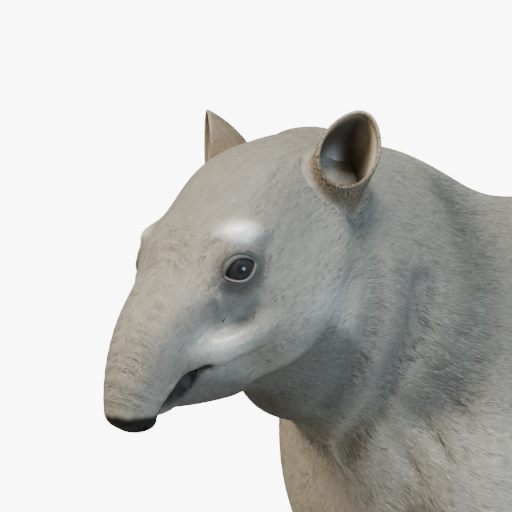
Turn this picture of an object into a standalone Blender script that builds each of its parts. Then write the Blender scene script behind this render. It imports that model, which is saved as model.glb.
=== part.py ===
"""A life-size Malayan tapir standing still, as a museum model.

The animal faces -Y with its left side at +X, and stands on the plane z = 0. Sizes are in metres.
Its flesh is one closed surface round a set of forms: oval sections carried along an axis, which
melt into each other. Soft ridges and grooves are laid over it. Ears, eyes and hooves are solids
of their own, each set in a socket, and flat cuts then part the flesh where a person would name
its parts.
"""

import math

import bmesh
import bpy
import numpy as np

# Driving sizes
MIDDLE = -0.0065        # from the frame's origin back to the stations' zero, on the long axis
GAP = 0.0003            # what touching parts keep between them
VOXEL = 0.0080          # grid of the first skin round the forms
FLESH_TRIANGLES = 5200  # what the flesh is brought down to
BODY_COARSENESS = 0.012 # how much sooner the body's edges go than those of the head and feet

HEAD_PITCH = 40.0       # the skull's axis below the horizon, in degrees
HEAD_AT = (0.700, 0.930)        # the skull's frame: ahead and height
TRUNK_BEND = (0.160, 0.173, math.radians(38.0))     # where the axis turns down, its radius and its turn
NOSTRIL_AT = (0.0150, 0.932, 0.712)     # aside, ahead and height of the left nostril
JAW_PITCH = 17.0
JAW_AT = (0.720, 0.800)

EYE_RADIUS = 0.0235
EYE_AT = (0.0720, 0.8250, 0.8950)   # aside, ahead and height of the left eyeball's centre
EYE_YAW = 60.0          # the way it looks, outwards from straight ahead
LID = 0.0030            # thickness of the lids over the eyeball
LID_ROLL = 0.0028       # radius of the roll along their edges
EYE_OPENING = (0.0172, 0.0120)      # half length and half height of the slit between the lids
EYE_TILT = 25.0         # how far the slit's front corner lies below its rear one, in degrees

EAR_ROOT = (0.0785, 0.6695, 0.985)  # aside, ahead and height of the root of the left ear
EAR_LEAN = {1: (0.571, 0.074, 0.816), -1: (0.420, 0.068, 0.905)}    # the way each ear stands, left and right
EAR_TALL = {1: 1.04, -1: 1.24}      # how much longer each ear is than its shape
EAR_FACES = {1: 45.0, -1: 36.0}     # the way each cup opens, outwards from straight ahead
EAR_WALL = 0.0050
EAR_SHAPE = [
    # up the ear, out of the cup, half width, half height of each ring from the root to the rim
    (-0.022, 0.004, 0.036, 0.028),
    (0.000, 0.000, 0.037, 0.034),
    (0.022, -0.002, 0.037, 0.039),
    (0.044, 0.006, 0.038, 0.044),
    (0.062, 0.018, 0.038, 0.047),
]

FORE_FOOT = (0.128, 0.345)          # aside and ahead of the fore hoofs' middle
HIND_FOOT = (0.125, -0.640)
STRIDE = 0.030          # how far each left foot stands ahead of, or behind, that place
FOOT_TOP = 0.105        # where a foot is cut from its leg


def spot(aside, ahead, height):
    """A place given as aside, ahead and height, in the frame's coordinates."""
    return np.array([aside, MIDDLE - ahead, height])


def axes(pitch=0.0, yaw=0.0):
    """Rows: along, aside and rise, for a form that points ahead, turned down by pitch and outwards by yaw."""
    p, y = math.radians(pitch), math.radians(yaw)
    along = (math.sin(y) * math.cos(p), -math.cos(y) * math.cos(p), -math.sin(p))
    aside = (math.cos(y), math.sin(y), 0.0)
    return np.array([along, aside, np.cross(along, aside)])


UPRIGHT = np.array([(0.0, 0.0, 1.0), (1.0, 0.0, 0.0), (0.0, -1.0, 0.0)])
LEVEL = axes()
HEAD = axes(HEAD_PITCH)
HEAD_ORIGIN = spot(0.0, *HEAD_AT)


def natural_spline(knots, values, at):
    """The natural cubic spline through the knots, read at the given places."""
    x, y = np.asarray(knots, float), np.asarray(values, float)
    if len(x) == 2:
        return np.interp(at, x, y)
    h = np.diff(x)
    bend = np.eye(len(x))
    load = np.zeros(len(x))
    for i in range(1, len(x) - 1):
        bend[i, i - 1 : i + 2] = h[i - 1], 2.0 * (h[i - 1] + h[i]), h[i]
        load[i] = 6.0 * ((y[i + 1] - y[i]) / h[i] - (y[i] - y[i - 1]) / h[i - 1])
    m = np.linalg.solve(bend, load)
    i = np.clip(np.searchsorted(x, at) - 1, 0, len(h) - 1)
    right, left = at - x[i], x[i + 1] - at
    return (
        (m[i] * left**3 + m[i + 1] * right**3) / (6.0 * h[i])
        + (y[i] / h[i] - m[i] * h[i] / 6.0) * left
        + (y[i + 1] / h[i] - m[i + 1] * h[i] / 6.0) * right
    )


class Form:
    """Oval sections carried along one axis, with a domed end each way.

    A station is (along, aside, rise, half_width, over, under): its place on the axis, how far its
    widest line is off the axis, and its reach to either side of, above and below that line.
    A bend (start, radius, angle) turns the axis down along an arc from that place on.
    """

    SAMPLES = 700

    def __init__(self, at, turn, stations, domes, melt, side=0, power=2.0, bend=None):
        self.at, self.turn, self.melt, self.side, self.power = at, turn, melt, side, power
        self.domes, self.bend = domes, bend
        knots = np.array(stations, float).T
        self.first, self.last = knots[0][0], knots[0][-1]
        if len(stations) == 1:
            self.t = np.array([self.first, self.first + 1.0])
            self.rows = [np.array([row[0], row[0]]) for row in knots[1:]]
        else:
            self.t = np.linspace(self.first, self.last, self.SAMPLES)
            self.rows = [natural_spline(knots[0], row, self.t) for row in knots[1:]]

    def section(self, along):
        return [np.interp(along, self.t, row) for row in self.rows]

    def straightened(self, t, v):
        """Along and rise of places, with the bend taken out."""
        start, radius, angle = self.bend
        x, y = t - start, v + radius
        half = 0.5 * angle
        swing = np.arctan2(x * math.cos(half) - y * math.sin(half), x * math.sin(half) + y * math.cos(half))
        swing = np.clip(swing, -half, half) + half
        past = x * np.cos(swing) - y * np.sin(swing)
        return start + radius * swing + past, x * np.sin(swing) + y * np.cos(swing) - radius

    def bent(self, t, v):
        """The reverse of straightened."""
        start, radius, angle = self.bend
        swing = np.clip((t - start) / radius, 0.0, angle)
        past = t - start - radius * swing
        return (start + (radius + v) * np.sin(swing) + past * np.cos(swing),
                (radius + v) * np.cos(swing) - past * np.sin(swing) - radius)

    def distance(self, points):
        """About how far each point lies outside the form, negative inside."""
        p = points.copy()
        if self.side == 0:
            p[:, 0] = np.abs(p[:, 0])
        else:
            p[:, 0] *= self.side
        t, u, v = self.turn @ (p - self.at).T
        if self.bend:
            t, v = self.straightened(t, v)
        core = np.clip(t, self.first, self.last)
        aside, rise, width, over, under = self.section(core)
        u, v, w = u - aside, v - rise, t - core
        tall = np.where(v > 0.0, over, under)
        dome = np.where(w > 0.0, self.domes[1], self.domes[0])
        if self.power == 2.0:
            ring = (u / width) ** 2 + (v / tall) ** 2
        else:
            ring = (np.abs(u / width) ** self.power + np.abs(v / tall) ** self.power) ** (2.0 / self.power)
        share = np.sqrt(ring + (w / dome) ** 2) + 1e-9
        return np.sqrt(u**2 + v**2 + w**2) * (1.0 - 1.0 / share)

    def rings(self, around=28, lengthwise=14, dome_rings=5, extra=0.0):
        """Points of a closed grid over the form, ring by ring, in the frame's coordinates."""
        low = np.linspace(-0.5 * np.pi, 0.0, dome_rings)
        along = np.concatenate([
            self.first + (self.domes[0] + extra) * np.sin(low),
            np.linspace(self.first, self.last, lengthwise)[1:-1],
            self.last + (self.domes[1] + extra) * np.sin(-low[::-1]),
        ])
        scale = np.concatenate([np.cos(low), np.ones(lengthwise - 2), np.cos(low[::-1])])
        scale[[0, -1]] = 1e-4
        aside, rise, width, over, under = self.section(np.clip(along, self.first, self.last))
        angle = np.linspace(0.0, 2.0 * np.pi, around, endpoint=False)
        cos, sin = np.cos(angle)[None], np.sin(angle)[None]
        bow = 2.0 / self.power
        cos, sin = np.sign(cos) * np.abs(cos) ** bow, np.sign(sin) * np.abs(sin) ** bow
        u = aside[:, None] + (scale * (width + extra))[:, None] * cos
        tall = np.where(sin > 0.0, over[:, None], under[:, None]) + extra
        v = rise[:, None] + scale[:, None] * tall * sin
        t = np.broadcast_to(along[:, None], u.shape)
        if self.bend:
            t, v = self.bent(t, v)
        placed = np.stack([t, u, v], axis=-1) @ self.turn + self.at
        if self.side:
            placed[..., 0] *= self.side
        return placed


def ball(aside, ahead, height, half, turn=LEVEL, melt=0.03, side=0):
    """An oval mass: half its length, width and height, along, aside and up."""
    along, width, tall = half
    at = spot(aside, ahead, height)
    return Form(at, turn, [(0.0, 0.0, 0.0, width, tall, tall)], (along, along), melt, side)


def torso_forms():
    barrel = [
        # ahead, -, widest line, half width, over, under
        (-0.720, 0.0, 0.780, 0.206, 0.250, 0.262),
        (-0.560, 0.0, 0.765, 0.242, 0.292, 0.306),
        (-0.360, 0.0, 0.740, 0.266, 0.306, 0.330),
        (-0.120, 0.0, 0.722, 0.270, 0.297, 0.326),
        (0.120, 0.0, 0.722, 0.250, 0.280, 0.312),
        (0.270, 0.0, 0.742, 0.220, 0.256, 0.290),
        (0.390, 0.0, 0.790, 0.186, 0.243, 0.272),
        (0.490, 0.0, 0.845, 0.160, 0.218, 0.262),
        (0.590, 0.0, 0.885, 0.136, 0.172, 0.226),
        (0.670, 0.0, 0.895, 0.118, 0.136, 0.170),
    ]
    return [
        Form(spot(0.0, 0.0, 0.0), LEVEL, barrel, (0.215, 0.055), 0.0, power=2.15),
        # breastbone, shoulder blade, upper arm and rump
        ball(0.0, 0.455, 0.600, (0.085, 0.100, 0.140), melt=0.09),
        ball(0.140, 0.330, 0.760, (0.150, 0.085, 0.230), axes(pitch=-18.0), melt=0.09),
        ball(0.130, 0.410, 0.590, (0.085, 0.070, 0.150), melt=0.08),
        ball(0.112, -0.690, 0.760, (0.175, 0.125, 0.210), melt=0.10),
    ]


def head_forms():
    skull = [
        # along, -, widest line, half width, over, under, from the nape to the tip of the proboscis
        (-0.125, 0.0, 0.000, 0.080, 0.080, 0.090),
        (-0.040, 0.0, 0.010, 0.096, 0.111, 0.100),
        (0.016, 0.0, 0.012, 0.100, 0.117, 0.090),
        (0.066, 0.0, 0.014, 0.097, 0.108, 0.084),
        (0.119, 0.0, 0.019, 0.086, 0.095, 0.078),
        (0.167, 0.0, 0.040, 0.071, 0.046, 0.064),
        (0.201, 0.0, 0.041, 0.058, 0.043, 0.050),
        (0.233, 0.0, 0.041, 0.048, 0.041, 0.040),
        (0.262, 0.0, 0.041, 0.040, 0.037, 0.035),
        (0.286, 0.0, 0.041, 0.034, 0.032, 0.030),
    ]
    jaw = [
        (0.000, 0.0, 0.000, 0.074, 0.060, 0.058),
        (0.070, 0.0, 0.000, 0.055, 0.036, 0.046),
        (0.130, 0.0, 0.002, 0.040, 0.028, 0.036),
        (0.168, 0.0, 0.004, 0.029, 0.022, 0.027),
    ]
    return [
        Form(HEAD_ORIGIN, HEAD, skull, (0.050, 0.024), 0.06, power=2.3, bend=TRUNK_BEND),
        Form(spot(0.0, *JAW_AT), axes(JAW_PITCH), jaw, (0.060, 0.022), 0.022, power=2.3),
        # throat, cheek muscle, ridge from the cheek bone to the lip, brow, orbit, and the bulge of the lids
        ball(0.0, 0.652, 0.762, (0.066, 0.080, 0.067), melt=0.030),
        ball(0.064, 0.716, 0.850, (0.085, 0.046, 0.068), axes(pitch=52.0), melt=0.034),
        ball(0.062, 0.826, 0.807, (0.056, 0.023, 0.020), axes(pitch=22.0, yaw=-27.0), melt=0.030),
        ball(0.0735, 0.820, 0.9345, (0.031, 0.022, 0.0165), axes(pitch=8.0, yaw=-28.0), melt=0.022),
        ball(0.0700, 0.8200, 0.9070, (0.0245, 0.0245, 0.0225), melt=0.014),
        ball(*EYE_AT, (EYE_RADIUS + LID,) * 3, melt=0.018),
    ]


def foot_centre(side, fore):
    aside, ahead = FORE_FOOT if fore else HIND_FOOT
    step = (STRIDE if side > 0 else -STRIDE) * (1.0 if fore else -1.0)
    return aside, ahead + step


def leg_forms(side, fore):
    """A leg's forms: upright sections from the hoofs up, and the foot."""
    if fore:
        column = [
            # height, outwards, forwards, half width, to the front, to the back
            (0.075, 0.000, 0.000, 0.048, 0.046, 0.049),
            (0.120, 0.000, -0.006, 0.043, 0.041, 0.043),
            (0.200, 0.000, -0.012, 0.044, 0.043, 0.045),
            (0.285, 0.000, -0.010, 0.053, 0.055, 0.052),
            (0.350, 0.000, -0.012, 0.059, 0.060, 0.064),
            (0.460, 0.000, -0.010, 0.074, 0.084, 0.096),
            (0.580, -0.004, 0.000, 0.084, 0.112, 0.120),
        ]
    else:
        column = [
            (0.075, 0.000, 0.000, 0.048, 0.046, 0.049),
            (0.120, 0.000, -0.010, 0.042, 0.041, 0.044),
            (0.210, 0.000, -0.030, 0.042, 0.043, 0.047),
            (0.310, 0.000, -0.052, 0.049, 0.053, 0.063),
            (0.390, 0.002, -0.034, 0.060, 0.074, 0.078),
            (0.490, 0.004, 0.015, 0.078, 0.120, 0.116),
            (0.620, 0.004, 0.035, 0.094, 0.158, 0.156),
        ]
    at = spot(*foot_centre(side, fore), 0.0)
    return [Form(at, UPRIGHT, column, (0.050, 0.110), 0.055, side=side), *foot_forms(side, fore)]


def toes(fore):
    """Each toe's turn outwards, place aside and ahead of the foot's middle, half width and lift."""
    main = [
        (0.0, 0.000, 0.044, 0.0205, 0.0),
        (-30.0, -0.030, 0.028, 0.0185, 0.0),
        (30.0, 0.030, 0.028, 0.0185, 0.0),
    ]
    return [*main, (76.0, 0.044, -0.002, 0.0145, 0.003)] if fore else main


def foot_forms(side, fore):
    """The pad under a foot and one oval toe for each hoof, spread like a fan."""
    centre = foot_centre(side, fore)
    forms = [ball(*centre, 0.034, (0.052, 0.047, 0.040), melt=0.030, side=side)]
    for yaw, aside, ahead, half_width, lift in toes(fore):
        turn = axes(yaw=yaw, pitch=14.0)
        at = centre[0] + aside, centre[1] + ahead
        forms.append(ball(*at, 0.026 + lift, (0.036, half_width, 0.026), turn, melt=0.008, side=side))
    return forms


def hoof_forms(side, fore):
    """A hoof for each toe: a blunt wedge that slopes to the floor and caps the toe's end."""
    centre = foot_centre(side, fore)
    forms = []
    for yaw, aside, ahead, half_width, lift in toes(fore):
        turn = math.radians(yaw)
        reach = 0.012
        out, forth = centre[0] + aside + reach * math.sin(turn), centre[1] + ahead + reach * math.cos(turn)
        at = spot(out, forth, 0.021 + lift)
        wedge = [
            (-0.004, 0.0, 0.0, 0.84 * half_width, 0.0160, 0.020),
            (0.014, 0.0, 0.0, 0.92 * half_width, 0.0125, 0.020),
        ]
        forms.append(Form(at, axes(pitch=32.0, yaw=yaw), wedge, (0.012, 0.014), 0.0, side=side, power=2.6))
    return forms


def tail_form():
    """A short tail that hangs close to the rump, from the root down to the tip."""
    return Form(spot(0.0, -0.945, 0.0), UPRIGHT, [
        (0.752, 0.0, -0.010, 0.012, 0.011, 0.011),
        (0.800, 0.0, -0.006, 0.018, 0.017, 0.016),
        (0.850, 0.0, 0.006, 0.026, 0.026, 0.021),
        (0.886, 0.0, 0.026, 0.034, 0.034, 0.028),
    ], (0.016, 0.030), 0.022)


def melt_together(a, b, reach):
    """The smaller of two distances, rounded over where they are within reach of each other."""
    if reach <= 0.0:
        return np.minimum(a, b)
    h = np.clip(0.5 + 0.5 * (a - b) / reach, 0.0, 1.0)
    return a + (b - a) * h - reach * h * (1.0 - h)


class Flesh:
    """All the forms melted together, with the soft relief laid over them."""

    def __init__(self):
        self.forms = [*torso_forms(), *head_forms()]
        for side in (1, -1):
            self.forms += leg_forms(side, True) + leg_forms(side, False)
        self.forms.append(tail_form())
        self.paths = []
        self.paths = [(depth, reach, self.laid(path)) for depth, reach, path in relief()]

    def distance(self, points):
        """How far each point lies outside the flesh."""
        found = np.full(len(points), 1.0)
        for form in self.forms:
            found = melt_together(found, form.distance(points), form.melt)
        for depth, reach, path in self.paths:
            found += depth * self.nearness(points, path, reach)
        return found

    @staticmethod
    def nearness(points, path, reach):
        """1 on the path and falling away like a bell to 0, the same on both sides of the body."""
        p = points * (1.0, 1.0, 1.0)
        p[:, 0] = np.abs(p[:, 0])
        low, high = path.min(axis=0) - 3.0 * reach, path.max(axis=0) + 3.0 * reach
        near = np.flatnonzero(((p > low) & (p < high)).all(axis=1))
        found = np.zeros(len(points))
        if not len(near):
            return found
        p = p[near]
        least = np.full(len(p), 1.0)
        for start, end in zip(path[:-1], path[1:]):
            way = end - start
            share = np.clip((p - start) @ way / (way @ way), 0.0, 1.0)
            least = np.minimum(least, ((p - start - share[:, None] * way) ** 2).sum(axis=1))
        found[near] = np.exp(-least / reach**2)
        return found

    def laid(self, path):
        """A path given as ahead and height, or aside too, brought onto the left side of the flesh."""
        knots = np.array(path, float)
        steps = np.linspace(0.0, len(knots) - 1.0, 4 * len(knots) - 3)
        rows = [natural_spline(np.arange(len(knots)), row, steps) for row in knots.T]
        ahead, height = rows[-2:]
        p = np.stack([np.full(len(steps), 0.32), MIDDLE - ahead, height], axis=1)
        for _ in range(30):
            p[:, 0] -= 0.8 * self.distance(p)
        p[:, 0] = np.maximum(p[:, 0], 0.0)
        return p


def relief():
    """Ridges and grooves: depth (outwards if negative), reach, and places ahead and height."""
    return [
        # hollow under the eye, and the ridge in front of it
        (0.009, 0.020, [(0.818, 0.850), (0.846, 0.836)]),
        (-0.004, 0.0065, [(0.858, 0.884), (0.851, 0.858), (0.841, 0.833)]),
        # line of the mouth, and the lip below it
        (0.010, 0.0050, [(0.905, 0.722), (0.884, 0.745), (0.866, 0.767), (0.855, 0.779)]),
        (-0.003, 0.0070, [(0.900, 0.706), (0.874, 0.738), (0.856, 0.762)]),
        # rear edge of the jaw, groove of the neck, and the fold before the shoulder
        (0.010, 0.020, [(0.752, 0.748), (0.712, 0.785), (0.680, 0.840), (0.662, 0.900), (0.655, 0.950)]),
        (0.006, 0.030, [(0.480, 1.000), (0.470, 0.900), (0.500, 0.780), (0.530, 0.700)]),
    ]


def mesh_object(name, points, faces):
    mesh = bpy.data.meshes.new(name)
    mesh.from_pydata(np.asarray(points).tolist(), [], faces)
    made = bpy.data.objects.new(name, mesh)
    bpy.context.scene.collection.objects.link(made)
    return made


def face_outwards(obj):
    shape = bmesh.new()
    shape.from_mesh(obj.data)
    bmesh.ops.recalc_face_normals(shape, faces=shape.faces)
    shape.to_mesh(obj.data)
    shape.free()


def grid_faces(rings, around, offset=0):
    """The triangles between the rings of a closed grid, split alike, and an n-gon over each end."""
    i, j = np.meshgrid(np.arange(rings - 1), np.arange(around), indexing="ij")
    a, b = i * around + j, i * around + (j + 1) % around
    c, d = b + around, a + around
    sides = np.stack([a, b, c, a, c, d], axis=-1).reshape(-1, 3) + offset
    first = (np.arange(around)[::-1] + offset).tolist()
    last = (np.arange(around) + (rings - 1) * around + offset).tolist()
    return [first, *sides.tolist(), last]


def ringed_solid(name, rings):
    """A closed solid from rings of points, each with the same count."""
    made = mesh_object(name, rings.reshape(-1, 3), grid_faces(*rings.shape[:2]))
    face_outwards(made)
    return made


def apply_modifiers(obj):
    """Replaces the object's mesh by the one that its modifiers make."""
    graph = bpy.context.evaluated_depsgraph_get()
    mesh = bpy.data.meshes.new_from_object(obj.evaluated_get(graph))
    obj.modifiers.clear()
    old = obj.data
    obj.data = mesh
    bpy.data.meshes.remove(old)


def slide_to_flesh(obj, flesh, passes=5):
    """Moves each vertex down the slope of the distance until it lies on the melted surface."""
    count = len(obj.data.vertices)
    flat = np.empty(count * 3, np.float32)
    obj.data.vertices.foreach_get("co", flat)
    p = flat.reshape(-1, 3).astype(float)
    step = 1e-4
    for _ in range(passes):
        here = flesh.distance(p)
        slope = np.stack([
            (flesh.distance(p + step * np.eye(3)[k]) - here) / step for k in range(3)
        ], axis=1)
        size = np.maximum((slope**2).sum(axis=1), 0.05)
        p -= slope * np.clip(here / size, -0.02, 0.02)[:, None]
    obj.data.vertices.foreach_set("co", p.astype(np.float32).ravel())
    obj.data.update()


def skin_over(flesh):
    """One closed skin round all the forms."""
    points, faces = [], []
    for form in flesh.forms:
        rings = form.rings()
        alone = form.side or abs(form.at[0]) < 1e-6
        for grid in [rings] if alone else [rings, rings * (-1.0, 1.0, 1.0)]:
            faces += grid_faces(*grid.shape[:2], offset=len(points))
            points += grid.reshape(-1, 3).tolist()
    made = mesh_object("flesh", points, faces)
    face_outwards(made)
    remesh = made.modifiers.new("one skin", "REMESH")
    remesh.mode = "VOXEL"
    remesh.voxel_size = VOXEL
    apply_modifiers(made)
    slide_to_flesh(made, flesh)
    return made


def thin_out(obj):
    """Brings the skin down to few triangles, and to fewer on the body than on the head and feet."""
    count = len(obj.data.vertices)
    flat = np.empty(count * 3, np.float32)
    obj.data.vertices.foreach_get("co", flat)
    p = flat.reshape(-1, 3)
    ahead, height = MIDDLE - p[:, 1], p[:, 2]
    face = np.clip((ahead - 0.55) / 0.15, 0.0, 1.0)
    foot = np.clip((0.17 - height) / 0.08, 0.0, 1.0)
    group = obj.vertex_groups.new(name="coarse")
    for index, weight in enumerate((1.0 - np.maximum(0.9 * face, 0.6 * foot)).tolist()):
        group.add([index], weight, "REPLACE")
    obj.data.update()
    fewer = obj.modifiers.new("fewer", "DECIMATE")
    triangles = sum(len(face.vertices) - 2 for face in obj.data.polygons)
    fewer.ratio = FLESH_TRIANGLES / triangles
    fewer.vertex_group = group.name
    fewer.vertex_group_factor = BODY_COARSENESS
    fewer.use_collapse_triangulate = True
    apply_modifiers(obj)


def unit(v):
    return v / np.linalg.norm(v)


def ear_rings(side, extra=0.0, hollow=True, around=16):
    """Rings of an ear from its root to the rim and, for the ear itself, back down into the cup.

    A ring's plane turns from across the ear's length, at the root, to the plane that the cup opens in.
    """
    turn = math.radians(EAR_FACES[side])
    opens = np.array([math.sin(turn), -math.cos(turn), 0.0])
    lean = EAR_LEAN[side]
    up = unit(np.array([lean[0], -lean[1], lean[2]]))
    back = unit((opens @ up) * up - opens)
    top = unit(up - (up @ opens) * opens)
    root = spot(*EAR_ROOT)
    shape = np.array(EAR_SHAPE) * (EAR_TALL[side], 1.0, 1.0, 0.5 + 0.5 * EAR_TALL[side])
    steps = np.linspace(0.0, len(shape) - 1.0, 2 * len(shape) - 1)
    rows = [natural_spline(np.arange(len(shape)), row, steps) for row in shape.T]
    rows[0][0] -= extra
    share = steps / steps[-1]
    outer = [(share[i], *(row[i] for row in rows), extra) for i in range(len(steps))]
    rim_up, rim_out, rim_width, rim_height = (row[-1] for row in rows)
    if hollow:
        rim = [(1.0, rim_up, rim_out + 0.0012, rim_width, rim_height, -0.5 * EAR_WALL)]
        inner = [(*ring[:5], -EAR_WALL) for ring in outer[:3:-1]]
    else:
        rim = [(1.0, rim_up, rim_out + 0.0030, rim_width, rim_height, extra)]
        inner = []
    angle = np.linspace(0.0, 2.0 * np.pi, around, endpoint=False)
    cos, sin = np.cos(angle)[:, None], np.sin(angle)[:, None]
    rings = []
    for turned, along, out, width, height, more in [*outer, *rim, *inner]:
        quarter = 0.5 * math.pi * turned
        high = unit(math.cos(quarter) * back + math.sin(quarter) * top)
        normal = unit(math.cos(quarter) * up + math.sin(quarter) * opens)
        wide = np.cross(high, normal)
        centre = root + along * up + out * opens
        across = (width + more) * cos * wide * (1.0 - 0.05 * sin)
        pointed = 1.0 + 0.10 * np.maximum(sin, 0.0) ** 3
        rings.append(centre + across + (height + more) * sin * pointed * high)
    rings = np.array(rings)
    rings[..., 0] *= side
    return rings


def eye_axes():
    """Rows: the way the left eye looks, the length of its slit, and across the slit."""
    turn, tilt = math.radians(EYE_YAW), math.radians(EYE_TILT)
    gaze = np.array([math.sin(turn), -math.cos(turn), 0.0])
    level = np.array([math.cos(turn), math.sin(turn), 0.0])
    rise = np.array([0.0, 0.0, 1.0])
    length = math.cos(tilt) * level + math.sin(tilt) * rise
    return np.array([gaze, length, np.cross(gaze, length)])


def slit_ways(around=20):
    """Directions from the eyeball's centre to points along the edge of the lids."""
    gaze, length, across = eye_axes()
    angle = np.linspace(0.0, 2.0 * np.pi, around, endpoint=False)
    h, v = EYE_OPENING[0] * np.cos(angle), EYE_OPENING[1] * np.sin(angle)
    depth = np.sqrt(EYE_RADIUS**2 - h**2 - v**2)
    return (depth[:, None] * gaze + h[:, None] * length + v[:, None] * across) / EYE_RADIUS


def slit_cutter(side):
    """A cone from inside the eyeball out through the lids, in the shape of the slit."""
    ways = slit_ways()
    rings = np.array([spot(*EYE_AT) + reach * EYE_RADIUS * ways for reach in (0.55, 0.9, 1.6)])
    rings[..., 0] *= side
    return ringed_solid("slit", rings)


def lid_roll(side):
    """The roll along the edge of the lids."""
    ways = slit_ways()
    middle = spot(*EYE_AT) + (EYE_RADIUS + 0.5 * LID) * ways
    tangent = np.roll(ways, -1, axis=0) - np.roll(ways, 1, axis=0)
    across = np.cross(tangent, ways)
    across /= np.linalg.norm(across, axis=1)[:, None]
    angle = np.linspace(0.0, 2.0 * np.pi, 6)[:-1]
    rings = np.array([
        middle + LID_ROLL * (math.cos(a) * ways + math.sin(a) * across) for a in angle
    ]).transpose(1, 0, 2)
    rings[..., 0] *= side
    count, around = rings.shape[:2]
    i, j = np.meshgrid(np.arange(count), np.arange(around), indexing="ij")
    k, m = (i + 1) % count, (j + 1) % around
    faces = np.stack([i * around + j, i * around + m, k * around + m, k * around + j], axis=-1).reshape(-1, 4)
    made = mesh_object("lid roll", rings.reshape(-1, 3), faces.tolist())
    face_outwards(made)
    return made


def eyeball(side, name, radius):
    bpy.ops.mesh.primitive_uv_sphere_add(radius=radius, segments=18, ring_count=11)
    made = bpy.context.object
    made.name = name
    made.location = spot(side * EYE_AT[0], EYE_AT[1], EYE_AT[2])
    made.rotation_euler = (math.radians(90.0), 0.0, side * math.radians(EYE_YAW))
    bake_place(made)
    return made


def bake_place(obj):
    """Writes the object's place into its mesh."""
    bpy.context.view_layer.update()
    obj.data.transform(obj.matrix_world)
    obj.matrix_world.identity()


def nostril(side):
    turn = axes(HEAD_PITCH + math.degrees(TRUNK_BEND[2]))
    at = spot(*NOSTRIL_AT)
    form = Form(at, turn, [(0.0, 0.0, 0.0, 0.0065, 0.0100, 0.0100)], (0.013, 0.013), 0.0, side=side)
    return ringed_solid("nostril", form.rings(around=10, lengthwise=2, dome_rings=3))


def boolean(obj, cutter, operation):
    """Joins to the object, or cuts or keeps of it, what the cutter covers, and removes the cutter."""
    cutter.hide_render = True
    cutter.display_type = "WIRE"
    change = obj.modifiers.new(cutter.name, "BOOLEAN")
    change.operation = operation
    change.solver = "MANIFOLD"
    change.object = cutter
    apply_modifiers(obj)
    bpy.data.objects.remove(cutter)


def floor_slab():
    bpy.ops.mesh.primitive_cube_add(size=1.0, location=(0.0, 0.0, -0.5))
    slab = bpy.context.object
    slab.name = "floor"
    slab.scale = (2.0, 4.0, 1.0)
    bake_place(slab)
    return slab


def widened(outline, by):
    """The outline with every side moved outwards by the same amount."""
    p = np.array(outline, float)
    way = np.roll(p, -1, axis=0) - p
    area = (p[:, 0] * np.roll(p[:, 1], -1) - np.roll(p[:, 0], -1) * p[:, 1]).sum()
    normal = np.stack([way[:, 1], -way[:, 0]], axis=1) * math.copysign(1.0, area)
    normal /= np.linalg.norm(normal, axis=1)[:, None]
    level = (normal * p).sum(axis=1) + by
    corners = [
        np.linalg.solve([normal[i - 1], normal[i]], [level[i - 1], level[i]]) for i in range(len(p))
    ]
    return np.array(corners)


def prism(outline, low, high, by=0.0):
    """A closed prism over an outline of places ahead and height, from one place aside to another."""
    corners = widened(outline, by)
    rings = np.array([
        [spot(aside, ahead, height) for ahead, height in corners] for aside in (low - by, high + by)
    ])
    return ringed_solid("region", rings)


def keep_largest(obj):
    """Drops all but the largest of the object's separate surfaces."""
    shape = bmesh.new()
    shape.from_mesh(obj.data)
    left = set(shape.faces)
    groups = []
    while left:
        group, edge = set(), [left.pop()]
        while edge:
            face = edge.pop()
            group.add(face)
            for side in face.edges:
                near = left.intersection(side.link_faces)
                left -= near
                edge.extend(near)
        groups.append(group)
    largest = max(groups, key=lambda group: sum(face.calc_area() for face in group))
    bmesh.ops.delete(shape, geom=[face for face in shape.faces if face not in largest], context="FACES")
    shape.to_mesh(obj.data)
    shape.free()


def take(rest, name, outline, low=-0.5, high=0.5):
    """Parts off what the prism over the outline covers, as an object of its own, a gap away from the rest."""
    piece = rest.copy()
    piece.data = rest.data.copy()
    piece.name = name
    bpy.context.scene.collection.objects.link(piece)
    boolean(piece, prism(outline, low, high), "INTERSECT")
    boolean(rest, prism(outline, low, high, GAP), "DIFFERENCE")
    keep_largest(piece)
    return piece


def side_name(side):
    return "left" if side > 0 else "right"


def part_legs(rest):
    for side in (1, -1):
        low, high = (0.034, 0.300) if side > 0 else (-0.300, -0.034)
        for fore, kind in ((True, "fore"), (False, "hind")):
            ahead = foot_centre(side, fore)[1]
            name = f"{kind}leg_{side_name(side)}"
            back, front = ahead - 0.14, ahead + 0.16
            knee = 0.300 if fore else 0.325
            foot = [(back, -0.05), (front, -0.05), (front, FOOT_TOP), (back, FOOT_TOP)]
            shank = [(back, FOOT_TOP), (front, FOOT_TOP), (front, knee), (back, knee)]
            if fore:
                thigh = [(back, knee), (front + 0.03, knee), (front + 0.03, 0.545), (back, 0.475)]
            else:
                thigh = [(-1.0, knee), (-0.44, knee), (-0.44, 0.475), (-1.0, 0.640)]
            take(rest, f"{kind}foot_{side_name(side)}", foot, low, high)
            take(rest, f"{name}_lower", shank, low, high)
            take(rest, f"{name}_upper", thigh, low, high)


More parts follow.
